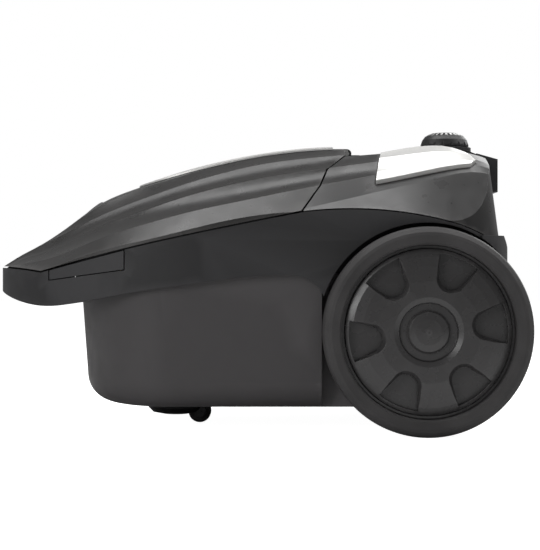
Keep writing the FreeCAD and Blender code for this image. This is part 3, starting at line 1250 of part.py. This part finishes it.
# ---------------------------------------------------------------- cord reel
def reel_drum():
    near, far = REEL_NEAR_Y, REEL_FAR_Y
    bore = REEL_AXLE_RADIUS + RUN_FIT
    room = REEL_CORE - WALL
    sleeve = bore + REEL_SLEEVE
    profile = [(bore, near), (REEL_RADIUS, near), (REEL_RADIUS, near + 2), (REEL_CORE, near + 2),
               (REEL_CORE, far - 2), (REEL_RADIUS, far - 2), (REEL_RADIUS, far), (room, far),
               (room, near + 14), (sleeve, near + 14), (sleeve, far), (bore, far)]
    drum = turned(profile, (REEL_X, 0, REEL_Z), (0, 1, 0), (1, 0, 0))
    holes = []
    for n in range(6):
        angle = math.radians(60 * n)
        x, z = REEL_X + 43 * math.cos(angle), REEL_Z + 43 * math.sin(angle)
        holes.append(rod(10.0, (x, near - 1, z), (x, far + 1, z)))
    return cut_all(drum, holes)


def reel_spring():
    """Flat spiral spring in the drum's core, as half-circle coils that grow turn by turn."""
    strip, pitch = 0.8, 2.0
    inner = REEL_AXLE_RADIUS + RUN_FIT + REEL_SLEEVE + SEAT_GAP + pitch / 4
    outer = REEL_CORE - WALL - SEAT_GAP - pitch / 4 - strip
    bands = []
    for n in range(int((outer - inner) / (pitch / 2)) + 1):
        radius = inner + pitch / 2 * n
        shift = (pitch / 4) * (1 if n % 2 == 0 else -1)
        y0, y1 = REEL_NEAR_Y + 15.5, REEL_FAR_Y - 4
        ring = tube(radius + strip, radius, (REEL_X + shift, y0, REEL_Z), (REEL_X + shift, y1, REEL_Z))
        z0, z1 = (REEL_Z, REEL_Z + 60) if n % 2 == 0 else (REEL_Z - 60, REEL_Z)
        bands.append(ring.common(box(REEL_X - 60, REEL_X + 60, y0, y1, z0, z1)))
    return fused(bands)


save("reel_drum", reel_drum())
save("reel_spring", reel_spring())
save("reel_axle", rod(REEL_AXLE_RADIUS, (REEL_X, REEL_NEAR_Y - 6.5, REEL_Z),
                      (REEL_X, RECESS_HALF - WALL - SEAT_GAP, REEL_Z)))


# ---------------------------------------------------------------- electrics on the deck
BOARD_Z = DECK_Z + DECK_THICK + BOARD_RISE


def control_board():
    board = box(KNOB_X - 38, KNOB_X + 14, -22, 22, BOARD_Z, BOARD_Z + 1.6)
    parts = [box(KNOB_X - 34, KNOB_X - 22, -16, -2, BOARD_Z + 1.5, BOARD_Z + 13),
             box(KNOB_X - 34, KNOB_X - 24, 4, 18, BOARD_Z + 1.5, BOARD_Z + 9),
             box(KNOB_X - 18, KNOB_X - 12, 6, 18, BOARD_Z + 1.5, BOARD_Z + 7)]
    posts = [rod(2.5, (x, y, DECK_Z + DECK_THICK), (x, y, BOARD_Z + 0.5))
             for x in (KNOB_X - 34, KNOB_X + 10) for y in (-18, 18)]
    return fused([board] + parts + posts)


def potentiometer():
    z0 = BOARD_Z + 1.6 + 0.2
    bore = rod(SPINDLE_RADIUS + RUN_FIT, (KNOB_X, 0, z0 + 2), (KNOB_X, 0, 300))
    return rod(8.5, (KNOB_X, 0, z0), (KNOB_X, 0, z0 + 9)).cut(bore)


def knob_spindle():
    return rod(SPINDLE_RADIUS, (KNOB_X, 0, BOARD_Z + 4.5), (KNOB_X, 0, KNOB_BASE_Z + 7))


def power_switch():
    """Mains switch on the deck, beside the left pedal's guide."""
    foot = stem_point(GUIDE_LOW)
    deck = DECK_Z + DECK_THICK
    return box(STEM_X + 10, STEM_X + 27, foot.y - 9, foot.y + 9, deck, deck + 14)


save("control_board", control_board())
save("potentiometer", potentiometer())
save("knob_spindle", knob_spindle())
save("power_switch", power_switch())


# ---------------------------------------------------------------- exhaust
def exhaust_door():
    x0 = TUB_REAR_X + 0.5
    x1 = x0 + DOOR_THICK
    plate = box(x0, x1, -DOOR_HALF, DOOR_HALF, DOOR_LOW_Z, DOOR_HINGE_Z + 1.5)
    barrel = door_rod(3.0, DOOR_HALF)
    louvres = []
    for n in range(8):
        z = DOOR_LOW_Z + 14 + n * 9.0
        louvres.append(box(x0 - 1, x1 + 1, -DOOR_HALF + 12, DOOR_HALF - 12, z, z + 4))
    pins = door_rod(DOOR_PIN_RADIUS, DOOR_HALF + 4)
    return fused([cut_all(plate, louvres), barrel, pins])


def exhaust_filter():
    x1 = TUB_REAR_X - 0.2
    half = DOOR_HALF - DOOR_LAP - SEAT_GAP
    low, high = DOOR_LOW_Z + 5 + SEAT_GAP, DOOR_HINGE_Z - DOOR_LAP - SEAT_GAP
    frame = box(x1 - 14, x1, -half, half, low, high)
    frame = frame.cut(box(x1 - 20, x1 + 5, -half + 4, half - 4, low + 4, high - 4))
    pleats = []
    count = 16
    step = (2 * half - 8) / count
    for n in range(count):
        y = -half + 4 + step * n
        corners = [Vector(x1 - 12, y - 0.1, low + 3), Vector(x1 - 2, y + step / 2, low + 3),
                   Vector(x1 - 12, y + step + 0.1, low + 3), Vector(x1 - 12.8, y + step + 0.1, low + 3),
                   Vector(x1 - 3.2, y + step / 2, low + 3), Vector(x1 - 12.8, y - 0.1, low + 3)]
        fold = Part.Face(Part.makePolygon(corners + corners[:1]))
        pleats.append(fold.extrude(Vector(0, 0, high - low - 6)))
    return fused([frame] + pleats)


save("exhaust_door", exhaust_door())
save("exhaust_filter", exhaust_filter())
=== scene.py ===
import json
import math

import bmesh
import bpy
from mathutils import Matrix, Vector


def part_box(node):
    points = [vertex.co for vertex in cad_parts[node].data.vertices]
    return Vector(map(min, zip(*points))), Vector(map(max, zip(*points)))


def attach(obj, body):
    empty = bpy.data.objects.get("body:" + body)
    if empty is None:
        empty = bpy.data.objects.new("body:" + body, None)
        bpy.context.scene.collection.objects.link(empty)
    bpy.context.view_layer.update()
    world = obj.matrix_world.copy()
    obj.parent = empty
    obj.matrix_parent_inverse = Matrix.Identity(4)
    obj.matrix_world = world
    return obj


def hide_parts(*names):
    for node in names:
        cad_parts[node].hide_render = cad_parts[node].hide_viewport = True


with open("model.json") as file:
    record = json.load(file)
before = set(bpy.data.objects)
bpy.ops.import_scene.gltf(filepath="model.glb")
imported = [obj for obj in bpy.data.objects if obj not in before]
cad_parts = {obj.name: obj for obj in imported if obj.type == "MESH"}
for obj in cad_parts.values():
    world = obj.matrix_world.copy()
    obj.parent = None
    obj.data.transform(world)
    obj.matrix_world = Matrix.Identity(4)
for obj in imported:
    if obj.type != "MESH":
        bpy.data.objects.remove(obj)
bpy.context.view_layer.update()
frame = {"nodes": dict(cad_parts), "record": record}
NODES = frame["nodes"]

# Lengths are in metres, angles in degrees, lamp powers in watts and lenses in millimetres.
SOFT_EDGE = 0.0006          # how softly moulded edges catch the light
SOFT_METAL_EDGE = 0.0003
EDGE_SAMPLES = 4
EDGE_HIGHLIGHT_AND_WEAR_FROM = 0.53            # how pointed edges are where their painted highlight and wear begin, and where they are full
EDGE_HIGHLIGHT_AND_WEAR_FULL = 0.60
NOISE_CORE = (0.3, 0.7)     # the stretch in which nearly all values of a noise lie
SEED_STEP = (1.0, 0.37, 0.71)       # how far one step of the seed moves a noise along each axis

# The marks on the knob's shoulder. They run round its axis in even steps, low bars that get a
# little longer from one to the next.
TICK_REACH = 0.69           # their ring, as a share of the knob's radius
TICK_DROP = 0.00150         # the ring's fall below the knob's top
TICK_SLOPE = 25.4           # the shoulder's slope
TICK_COUNT = 11
TICK_START = -170
TICK_STEP = 16
TICK_LENGTH = 0.0011
TICK_GROWTH = 0.00014
TICK_WIDTH = 0.0042
TICK_RISE = 0.00022
BAR_PROFILE = ((0.0, 1.0), (0.6, 0.96), (0.92, 0.8), (1.0, 0.5))    # share of height, of width

# The paper bag: the cell of its even mesh, rounds of smoothing, and its folds as name, texture,
# size and depth.
BAG_CELL = 0.0035
BAG_SOFTENING = 10
BAG_FOLDS = (("sag", "CLOUDS", 0.06, 0.005), ("crease", "VORONOI", 0.03, 0.003))

# The filter's pad: the power that sets how square it stays, and the depth of its ripples as a
# share of its size.
PAD_CUTS = 14
PAD_SQUARENESS = 6
PAD_CROWN = 0.01

# The camera stands level beside the machine, a little above mid height.
CAMERA_PLACE = (0.0125, -1.355, 0.131)
CAMERA_LENS = 101.07
CAMERA_SENSOR = 36.0
CAMERA_REACH = 50.0

# The lamps are rectangular: place, the point that each faces, its two sides and its power.
LAMPS = {
    "top_light": ((0.05, -0.02, 1.5), (0.05, -0.02, 0.1), (3.0, 0.62), 36),
    "front_light": ((-1.1, -1.5, 0.75), (0, 0, 0.1), (0.7, 0.9), 12),
    "rear_light": ((0.9, 1.0, 0.9), (0.1, 0, 0.15), (0.9, 0.7), 7),
    "tail_light": ((1.3, -0.05, 1.0), (0.15, 0, 0.15), (0.3, 0.45), 4),
}
WORLD_LEVEL = 0.26          # the light that the surroundings give
SEEN_WORLD_LEVEL = 1.0      # how bright the camera sees them
SEEN_STAGE_LEVEL = 0.98     # what the floor adds to its own look, for the camera alone
FLOOR_CELLS = 8
FLOOR_HALF = 6.0


# ---------------------------------------------------------------- material building
class Nodes:
    """A material's node tree, with short calls for the nodes used here."""

    def __init__(self, name):
        self.material = bpy.data.materials.new(name)
        self.material.use_nodes = True
        self.tree = self.material.node_tree
        self.shader = self.tree.nodes["Principled BSDF"]
        self.place = self.add("ShaderNodeTexCoord").outputs["Object"]

    def add(self, kind, **settings):
        node = self.tree.nodes.new(kind)
        for key, value in settings.items():
            setattr(node, key, value)
        return node

    def link(self, source, target):
        self.tree.links.new(source, target)

    def set(self, **values):
        for key, value in values.items():
            self.shader.inputs[key.replace("_", " ")].default_value = value

    def noise(self, scale, detail=3.0, rough=0.55, seed=0.0, stretch=None):
        """Noise with about scale features to the metre, more along an axis with a larger stretch."""
        shift = self.add("ShaderNodeMapping")
        shift.inputs["Location"].default_value = tuple(seed * step for step in SEED_STEP)
        if stretch:
            shift.inputs["Scale"].default_value = stretch
        self.link(self.place, shift.inputs["Vector"])
        node = self.add("ShaderNodeTexNoise")
        node.inputs["Scale"].default_value = scale
        node.inputs["Detail"].default_value = detail
        node.inputs["Roughness"].default_value = rough
        self.link(shift.outputs["Vector"], node.inputs["Vector"])
        return node.outputs["Fac"]

    def remap(self, value, low, high, start=NOISE_CORE[0], end=NOISE_CORE[1]):
        """Stretches start to end over low to high, and keeps what lies outside at the ends."""
        node = self.add("ShaderNodeMapRange")
        node.inputs["From Min"].default_value = start
        node.inputs["From Max"].default_value = end
        node.inputs["To Min"].default_value = low
        node.inputs["To Max"].default_value = high
        self.link(value, node.inputs["Value"])
        return node.outputs["Result"]

    def mix(self, factor, first, second):
        """Blends two colours, which may come from other nodes."""
        node = self.add("ShaderNodeMix", data_type="RGBA")
        self.link(factor, node.inputs["Factor"])
        colours = [socket for socket in node.inputs if socket.type == "RGBA"]
        for socket, value in zip(colours, (first, second)):
            if isinstance(value, bpy.types.NodeSocket):
                self.link(value, socket)
            else:
                socket.default_value = (*value, 1.0)
        return next(socket for socket in node.outputs if socket.type == "RGBA")

    def bump(self, height, strength, distance, under=None):
        """Bumps up to a distance high, over another normal where one is given."""
        node = self.add("ShaderNodeBump")
        node.inputs["Strength"].default_value = strength
        node.inputs["Distance"].default_value = distance
        self.link(height, node.inputs["Height"])
        if under is not None:
            self.link(under, node.inputs["Normal"])
        return node.outputs["Normal"]

    def soft_edges(self, radius=SOFT_EDGE):
        node = self.add("ShaderNodeBevel", samples=EDGE_SAMPLES)
        node.inputs["Radius"].default_value = radius
        return node.outputs["Normal"]

    def painted_highlight_and_worn_edges(self):
        """1 along sharp outer edges, where the colour is painted brighter: a painted highlight, and wear.
        """
        pointed = self.add("ShaderNodeNewGeometry").outputs["Pointiness"]
        return self.remap(pointed, 0.0, 1.0, EDGE_HIGHLIGHT_AND_WEAR_FROM, EDGE_HIGHLIGHT_AND_WEAR_FULL)


def scaled(colour, factor):
    return tuple(min(1.0, c * factor) for c in colour)


def moulded(name, colour, rough, seed, grain=2600.0, grain_depth=0.00003, edge=1.7, shine=0.3):
    """Moulded plastic: fine spark-eroded grain, slow tone changes and sharp edges painted brighter, as a
    painted highlight and as wear.
    """
    m = Nodes(name)
    slow = m.noise(9.0, seed=seed)
    fine = m.noise(grain, detail=2.0, seed=seed + 1)
    base = m.mix(m.remap(slow, 0.0, 1.0, 0.2, 0.8), scaled(colour, 0.95), scaled(colour, 1.05))
    # sharp edges get a painted highlight here, a brighter colour that also stands for wear
    base = m.mix(m.painted_highlight_and_worn_edges(), base, scaled(colour, edge))
    m.link(base, m.shader.inputs["Base Color"])
    streaks = m.noise(60.0, detail=5.0, seed=seed + 2)
    m.link(m.remap(streaks, rough - 0.05, rough + 0.06), m.shader.inputs["Roughness"])
    m.link(m.bump(fine, 0.35, grain_depth, m.soft_edges()), m.shader.inputs["Normal"])
    m.set(Specular_IOR_Level=shine)
    return m.material


def lacquered(name, colour, seed):
    """Silver lacquer: fine metal flake under a clear coat."""
    m = Nodes(name)
    flake = m.noise(5200.0, detail=1.0, seed=seed)
    slow = m.noise(14.0, seed=seed + 1)
    base = m.mix(m.remap(flake, 0.0, 1.0, 0.35, 0.65), scaled(colour, 0.9), scaled(colour, 1.06))
    base = m.mix(m.remap(slow, 0.0, 0.25), base, scaled(colour, 0.94))
    m.link(base, m.shader.inputs["Base Color"])
    m.link(m.remap(flake, 0.30, 0.40), m.shader.inputs["Roughness"])
    m.link(m.bump(flake, 0.12, 0.00002, m.soft_edges()), m.shader.inputs["Normal"])
    m.set(Metallic=0.35, Coat_Weight=0.35, Coat_Roughness=0.15)
    return m.material


def rubber(name, colour, seed, rough=0.62):
    """Rubber or pressed carbon: blotchy tone and a fine dull grain."""
    m = Nodes(name)
    slow = m.noise(30.0, detail=5.0, seed=seed)
    fine = m.noise(1500.0, detail=3.0, seed=seed + 1)
    base = m.mix(m.remap(slow, 0.0, 1.0), scaled(colour, 0.82), scaled(colour, 1.2))
    m.link(base, m.shader.inputs["Base Color"])
    m.link(m.remap(fine, rough - 0.08, rough + 0.1), m.shader.inputs["Roughness"])
    m.link(m.bump(fine, 0.4, 0.00006, m.soft_edges()), m.shader.inputs["Normal"])
    m.set(Specular_IOR_Level=0.25)
    return m.material


def metal(name, colour, seed, rough=0.32, stretch=(1.0, 12.0, 12.0)):
    """Bare metal with brush marks, which are finest across the axis with the largest stretch."""
    m = Nodes(name)
    brushed = m.noise(160.0, detail=4.0, seed=seed, stretch=stretch)
    base = m.mix(m.remap(brushed, 0.0, 1.0), scaled(colour, 0.8), scaled(colour, 1.1))
    m.link(base, m.shader.inputs["Base Color"])
    m.link(m.remap(brushed, rough - 0.08, rough + 0.1), m.shader.inputs["Roughness"])
    m.link(m.bump(brushed, 0.15, 0.00003, m.soft_edges(SOFT_METAL_EDGE)), m.shader.inputs["Normal"])
    m.set(Metallic=1.0)
    return m.material


def fabric(name, colour, seed, weave=1400.0):
    """Non-woven cloth: matted fibres with a soft sheen."""
    m = Nodes(name)
    fibres = m.noise(weave, detail=6.0, rough=0.7, seed=seed, stretch=(1.0, 0.35, 1.0))
    clouds = m.noise(45.0, detail=4.0, seed=seed + 2)
    base = m.mix(m.remap(fibres, 0.0, 1.0), scaled(colour, 0.78), scaled(colour, 1.08))
    base = m.mix(m.remap(clouds, 0.0, 0.3), base, scaled(colour, 0.85))
    m.link(base, m.shader.inputs["Base Color"])
    m.link(m.bump(fibres, 0.6, 0.0002), m.shader.inputs["Normal"])
    m.set(Roughness=0.9, Sheen_Weight=0.25)
    return m.material


# Each finish: the kind of material, its colour, its seed and what else differs from the kind.
# Each edge value sets how much brighter sharp edges are painted: a painted highlight, together with wear.
FINISHES = {
    "lid_black": (moulded, (0.022, 0.0213, 0.0210), 1, dict(rough=0.30, edge=2.6)),
    "cover_black": (moulded, (0.021, 0.0204, 0.0204), 2, dict(rough=0.31, edge=2.6, shine=0.33)),
    "band_black": (moulded, (0.021, 0.0207, 0.0216), 3,
                   dict(rough=0.52, grain=1900, grain_depth=0.00006, shine=0.22)),
    "tub_grey": (moulded, (0.054, 0.0512, 0.0525), 4,
                 dict(rough=0.56, grain=1700, grain_depth=0.00007, shine=0.25)),
    "silver": (lacquered, (0.60, 0.596, 0.582), 5, {}),
    "hub_grey": (moulded, (0.031, 0.0298, 0.0302), 6, dict(rough=0.27, grain=2000, edge=2.0, shine=0.5)),
    "tyre_rubber": (rubber, (0.038, 0.0364, 0.0368), 7, {}),
    "black_plastic": (moulded, (0.010, 0.010, 0.0105), 8, dict(rough=0.44, edge=2.2, shine=0.35)),
    "inner_grey": (moulded, (0.16, 0.165, 0.17), 9, dict(rough=0.5)),
    "seal_rubber": (rubber, (0.02, 0.02, 0.02), 10, {}),
    "steel": (metal, (0.58, 0.58, 0.57), 11, {}),
    "blackened_steel": (metal, (0.05, 0.05, 0.05), 21, dict(rough=0.5)),
    "lamination": (metal, (0.24, 0.24, 0.25), 12, dict(rough=0.5, stretch=(40.0, 1.0, 1.0))),
    "copper": (metal, (0.72, 0.36, 0.18), 13, dict(rough=0.34)),
    "impeller_alloy": (metal, (0.78, 0.78, 0.79), 14, dict(rough=0.3)),
    "carbon": (rubber, (0.035, 0.035, 0.035), 15, dict(rough=0.5)),
    "bag_fabric": (fabric, (0.78, 0.74, 0.66), 16, {}),
    "bag_card": (fabric, (0.55, 0.42, 0.26), 17, dict(weave=700)),
    "filter_fabric": (fabric, (0.82, 0.83, 0.82), 18, {}),
    "board_green": (moulded, (0.03, 0.16, 0.06), 19, dict(rough=0.35)),
    "mark_white": (moulded, (0.75, 0.75, 0.74), 20, dict(rough=0.5, edge=1.0)),
}
MATERIALS = {name: kind(name, colour, seed=seed, **more)
             for name, (kind, colour, seed, more) in FINISHES.items()}
OTHER_FINISH = {"caster_axle": "blackened_steel"}


def finish_cad_nodes():
    """Every CAD node gets the finish of its record's slot, apart from those in OTHER_FINISH."""
    finish_of = {entry["node"]: entry["material_slot"] for entry in frame["record"]["subparts"]}
    finish_of.update(OTHER_FINISH)
    for name, obj in NODES.items():
        obj.data.materials.clear()
        obj.data.materials.append(MATERIALS[finish_of[name]])


# ---------------------------------------------------------------- small pieces
def make_piece(name, bm, material, body):
    """Turns bm into a smooth piece that rides on a body."""
    mesh = bpy.data.meshes.new(name)
    bm.to_mesh(mesh)
    bm.free()
    obj = bpy.data.objects.new(name, mesh)
    bpy.context.scene.collection.objects.link(obj)
    for face in mesh.polygons:
        face.use_smooth = True
    mesh.materials.append(MATERIALS[material])
    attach(obj, body)
    return obj


def add_bar(bm, centre, along, up, out, size):
    """Low rounded bar: a box with its outer face drawn in on all sides."""
    length, width, height = size
    rings = []
    for lift, share in BAR_PROFILE:
        trim = (1.0 - share) * width / 2
        ring = []
        for a, b in ((-1, -1), (1, -1), (1, 1), (-1, 1)):
            point = (centre + along * (a * (length / 2 - trim)) + up * (b * (width / 2 - trim))
                     + out * (lift * height))
            ring.append(bm.verts.new(point))
        rings.append(ring)
    for low, high in zip(rings, rings[1:]):
        for i in range(4):
            bm.faces.new((low[i], low[(i + 1) % 4], high[(i + 1) % 4], high[i]))
    bm.faces.new(rings[0][::-1])
    bm.faces.new(rings[-1])


def knob_ticks():
    """Plain power marks on the knob's sloping shoulder, each a little longer than the last."""
    low, high = (Vector(corner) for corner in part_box("power_knob"))
    middle = (low + high) / 2
    radius = (high.x - low.x) / 2 * TICK_REACH
    slope = math.radians(TICK_SLOPE)
    bm = bmesh.new()
    for n in range(TICK_COUNT):
        angle = math.radians(TICK_START + TICK_STEP * n)
        away = Vector((math.cos(angle), math.sin(angle), 0))
        round_way = Vector((-away.y, away.x, 0))
        out = away * math.sin(slope) + Vector((0, 0, math.cos(slope)))
        uphill = Vector((0, 0, math.sin(slope))) - away * math.cos(slope)
        centre = Vector((middle.x, middle.y, high.z - TICK_DROP)) + away * radius
        add_bar(bm, centre, round_way, uphill, out, (TICK_LENGTH + TICK_GROWTH * n, TICK_WIDTH, TICK_RISE))
    make_piece("knob_ticks", bm, "mark_white", "power_knob")


def filter_pad():
    """The filter's stuffed pad: a box with crowned faces and edges drawn in."""
    low, high = (Vector(corner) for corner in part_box("pre_motor_filter"))
    middle, half = (low + high) / 2, (high - low) / 2
    bm = bmesh.new()
    bmesh.ops.create_cube(bm, size=2.0)
    bmesh.ops.subdivide_edges(bm, edges=bm.edges[:], cuts=PAD_CUTS, use_grid_fill=True)
    for vert in bm.verts:
        p = vert.co.copy()
        p /= sum(abs(c) ** PAD_SQUARENESS for c in p) ** (1 / PAD_SQUARENESS)
        ripple = 1.0 - PAD_CROWN * (0.5 + 0.5 * math.sin(p.y * 9.0) * math.cos(p.z * 7.0 + p.x * 3.0))
        vert.co = middle + Vector((p.x * half.x, p.y * half.y, p.z * half.z)) * ripple
    piece = make_piece("filter_pad", bm, "filter_fabric", "chassis")
    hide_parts("pre_motor_filter")


def crumpled_bag():
    """The paper bag in its true outer form, with creased and slightly sunken sides."""
    source = NODES["dust_bag"]
    copy = bpy.data.objects.new("bag_work", source.data.copy())
    copy.matrix_world = source.matrix_world
    bpy.context.scene.collection.objects.link(copy)
    remesh = copy.modifiers.new("even", "REMESH")
    remesh.mode = "VOXEL"
    remesh.voxel_size = BAG_CELL
    smooth = copy.modifiers.new("soften", "SMOOTH")
    smooth.iterations = BAG_SOFTENING
    for name, kind, size, depth in BAG_FOLDS:
        texture = bpy.data.textures.new(name, kind)
        texture.noise_scale = size
        fold = copy.modifiers.new(name, "DISPLACE")
        fold.texture = texture
        fold.texture_coords = "LOCAL"
        fold.mid_level = 0.0
        fold.strength = -depth
    bpy.context.view_layer.update()
    worked = copy.evaluated_get(bpy.context.evaluated_depsgraph_get())
    bm = bmesh.new()
    bm.from_mesh(worked.to_mesh())
    bm.transform(copy.matrix_world)
    worked.to_mesh_clear()
    bpy.data.objects.remove(copy)
    piece = make_piece("paper_bag", bm, "bag_fabric", "chassis")
    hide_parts("dust_bag")


# ---------------------------------------------------------------- stage, light and camera
def stage_material():
    """Pale floor that takes light and shadow, and also glows, for the camera alone."""
    m = Nodes("stage_pale")
    slow = m.noise(1.2, detail=2.0)
    base = m.mix(m.remap(slow, 0.0, 1.0), (0.62, 0.62, 0.62), (0.64, 0.64, 0.64))
    m.link(base, m.shader.inputs["Base Color"])
    m.set(Roughness=0.95)
    ray = m.add("ShaderNodeLightPath")
    dark = m.add("ShaderNodeEmission")
    dark.inputs["Strength"].default_value = 0.0
    glow = m.add("ShaderNodeEmission")
    glow.inputs["Strength"].default_value = SEEN_STAGE_LEVEL
    choose = m.add("ShaderNodeMixShader")
    m.link(ray.outputs["Is Camera Ray"], choose.inputs["Fac"])
    m.link(dark.outputs[0], choose.inputs[1])
    m.link(glow.outputs[0], choose.inputs[2])
    total = m.add("ShaderNodeAddShader")
    m.link(m.shader.outputs[0], total.inputs[0])
    m.link(choose.outputs[0], total.inputs[1])
    m.link(total.outputs[0], m.tree.nodes["Material Output"].inputs["Surface"])
    return m.material


def make_floor():
    bm = bmesh.new()
    bmesh.ops.create_grid(bm, x_segments=FLOOR_CELLS, y_segments=FLOOR_CELLS, size=FLOOR_HALF)
    mesh = bpy.data.meshes.new("floor")
    bm.to_mesh(mesh)
    bm.free()
    mesh.materials.append(stage_material())
    floor = bpy.data.objects.new("floor", mesh)
    bpy.context.scene.collection.objects.link(floor)


def make_world():
    """Even white surroundings, which the camera sees brighter than they light the machine."""
    world = bpy.data.worlds.new("studio")
    bpy.context.scene.world = world
    world.use_nodes = True
    nodes, links = world.node_tree.nodes, world.node_tree.links
    ray = nodes.new("ShaderNodeLightPath")
    choose = nodes.new("ShaderNodeMixShader")
    links.new(ray.outputs["Is Camera Ray"], choose.inputs["Fac"])
    seen = nodes.new("ShaderNodeBackground")
    for place, node, level in ((1, nodes["Background"], WORLD_LEVEL), (2, seen, SEEN_WORLD_LEVEL)):
        node.inputs["Color"].default_value = (1.0, 1.0, 1.0, 1.0)
        node.inputs["Strength"].default_value = level
        links.new(node.outputs[0], choose.inputs[place])
    links.new(choose.outputs[0], nodes["World Output"].inputs["Surface"])


def softbox(name, place, target, size, power):
    """Rectangular lamp that faces a point."""
    data = bpy.data.lights.new(name, "AREA")
    data.shape = "RECTANGLE"
    data.size, data.size_y = size
    data.energy = power
    lamp = bpy.data.objects.new(name, data)
    lamp.location = place
    lamp.rotation_euler = (Vector(target) - Vector(place)).to_track_quat("-Z", "Y").to_euler()
    bpy.context.scene.collection.objects.link(lamp)


def make_camera():
    data = bpy.data.cameras.new("camera")
    data.sensor_fit = "HORIZONTAL"
    data.sensor_width = CAMERA_SENSOR
    data.lens = CAMERA_LENS
    data.clip_end = CAMERA_REACH
    camera = bpy.data.objects.new("camera", data)
    camera.location = CAMERA_PLACE
    camera.rotation_euler = (math.radians(90), 0, 0)
    bpy.context.scene.collection.objects.link(camera)
    bpy.context.scene.camera = camera


finish_cad_nodes()
knob_ticks()
crumpled_bag()
filter_pad()
make_floor()
make_world()
for lamp_name, setting in LAMPS.items():
    softbox(lamp_name, *setting)
make_camera()
bpy.context.scene.view_settings.view_transform = "Standard"
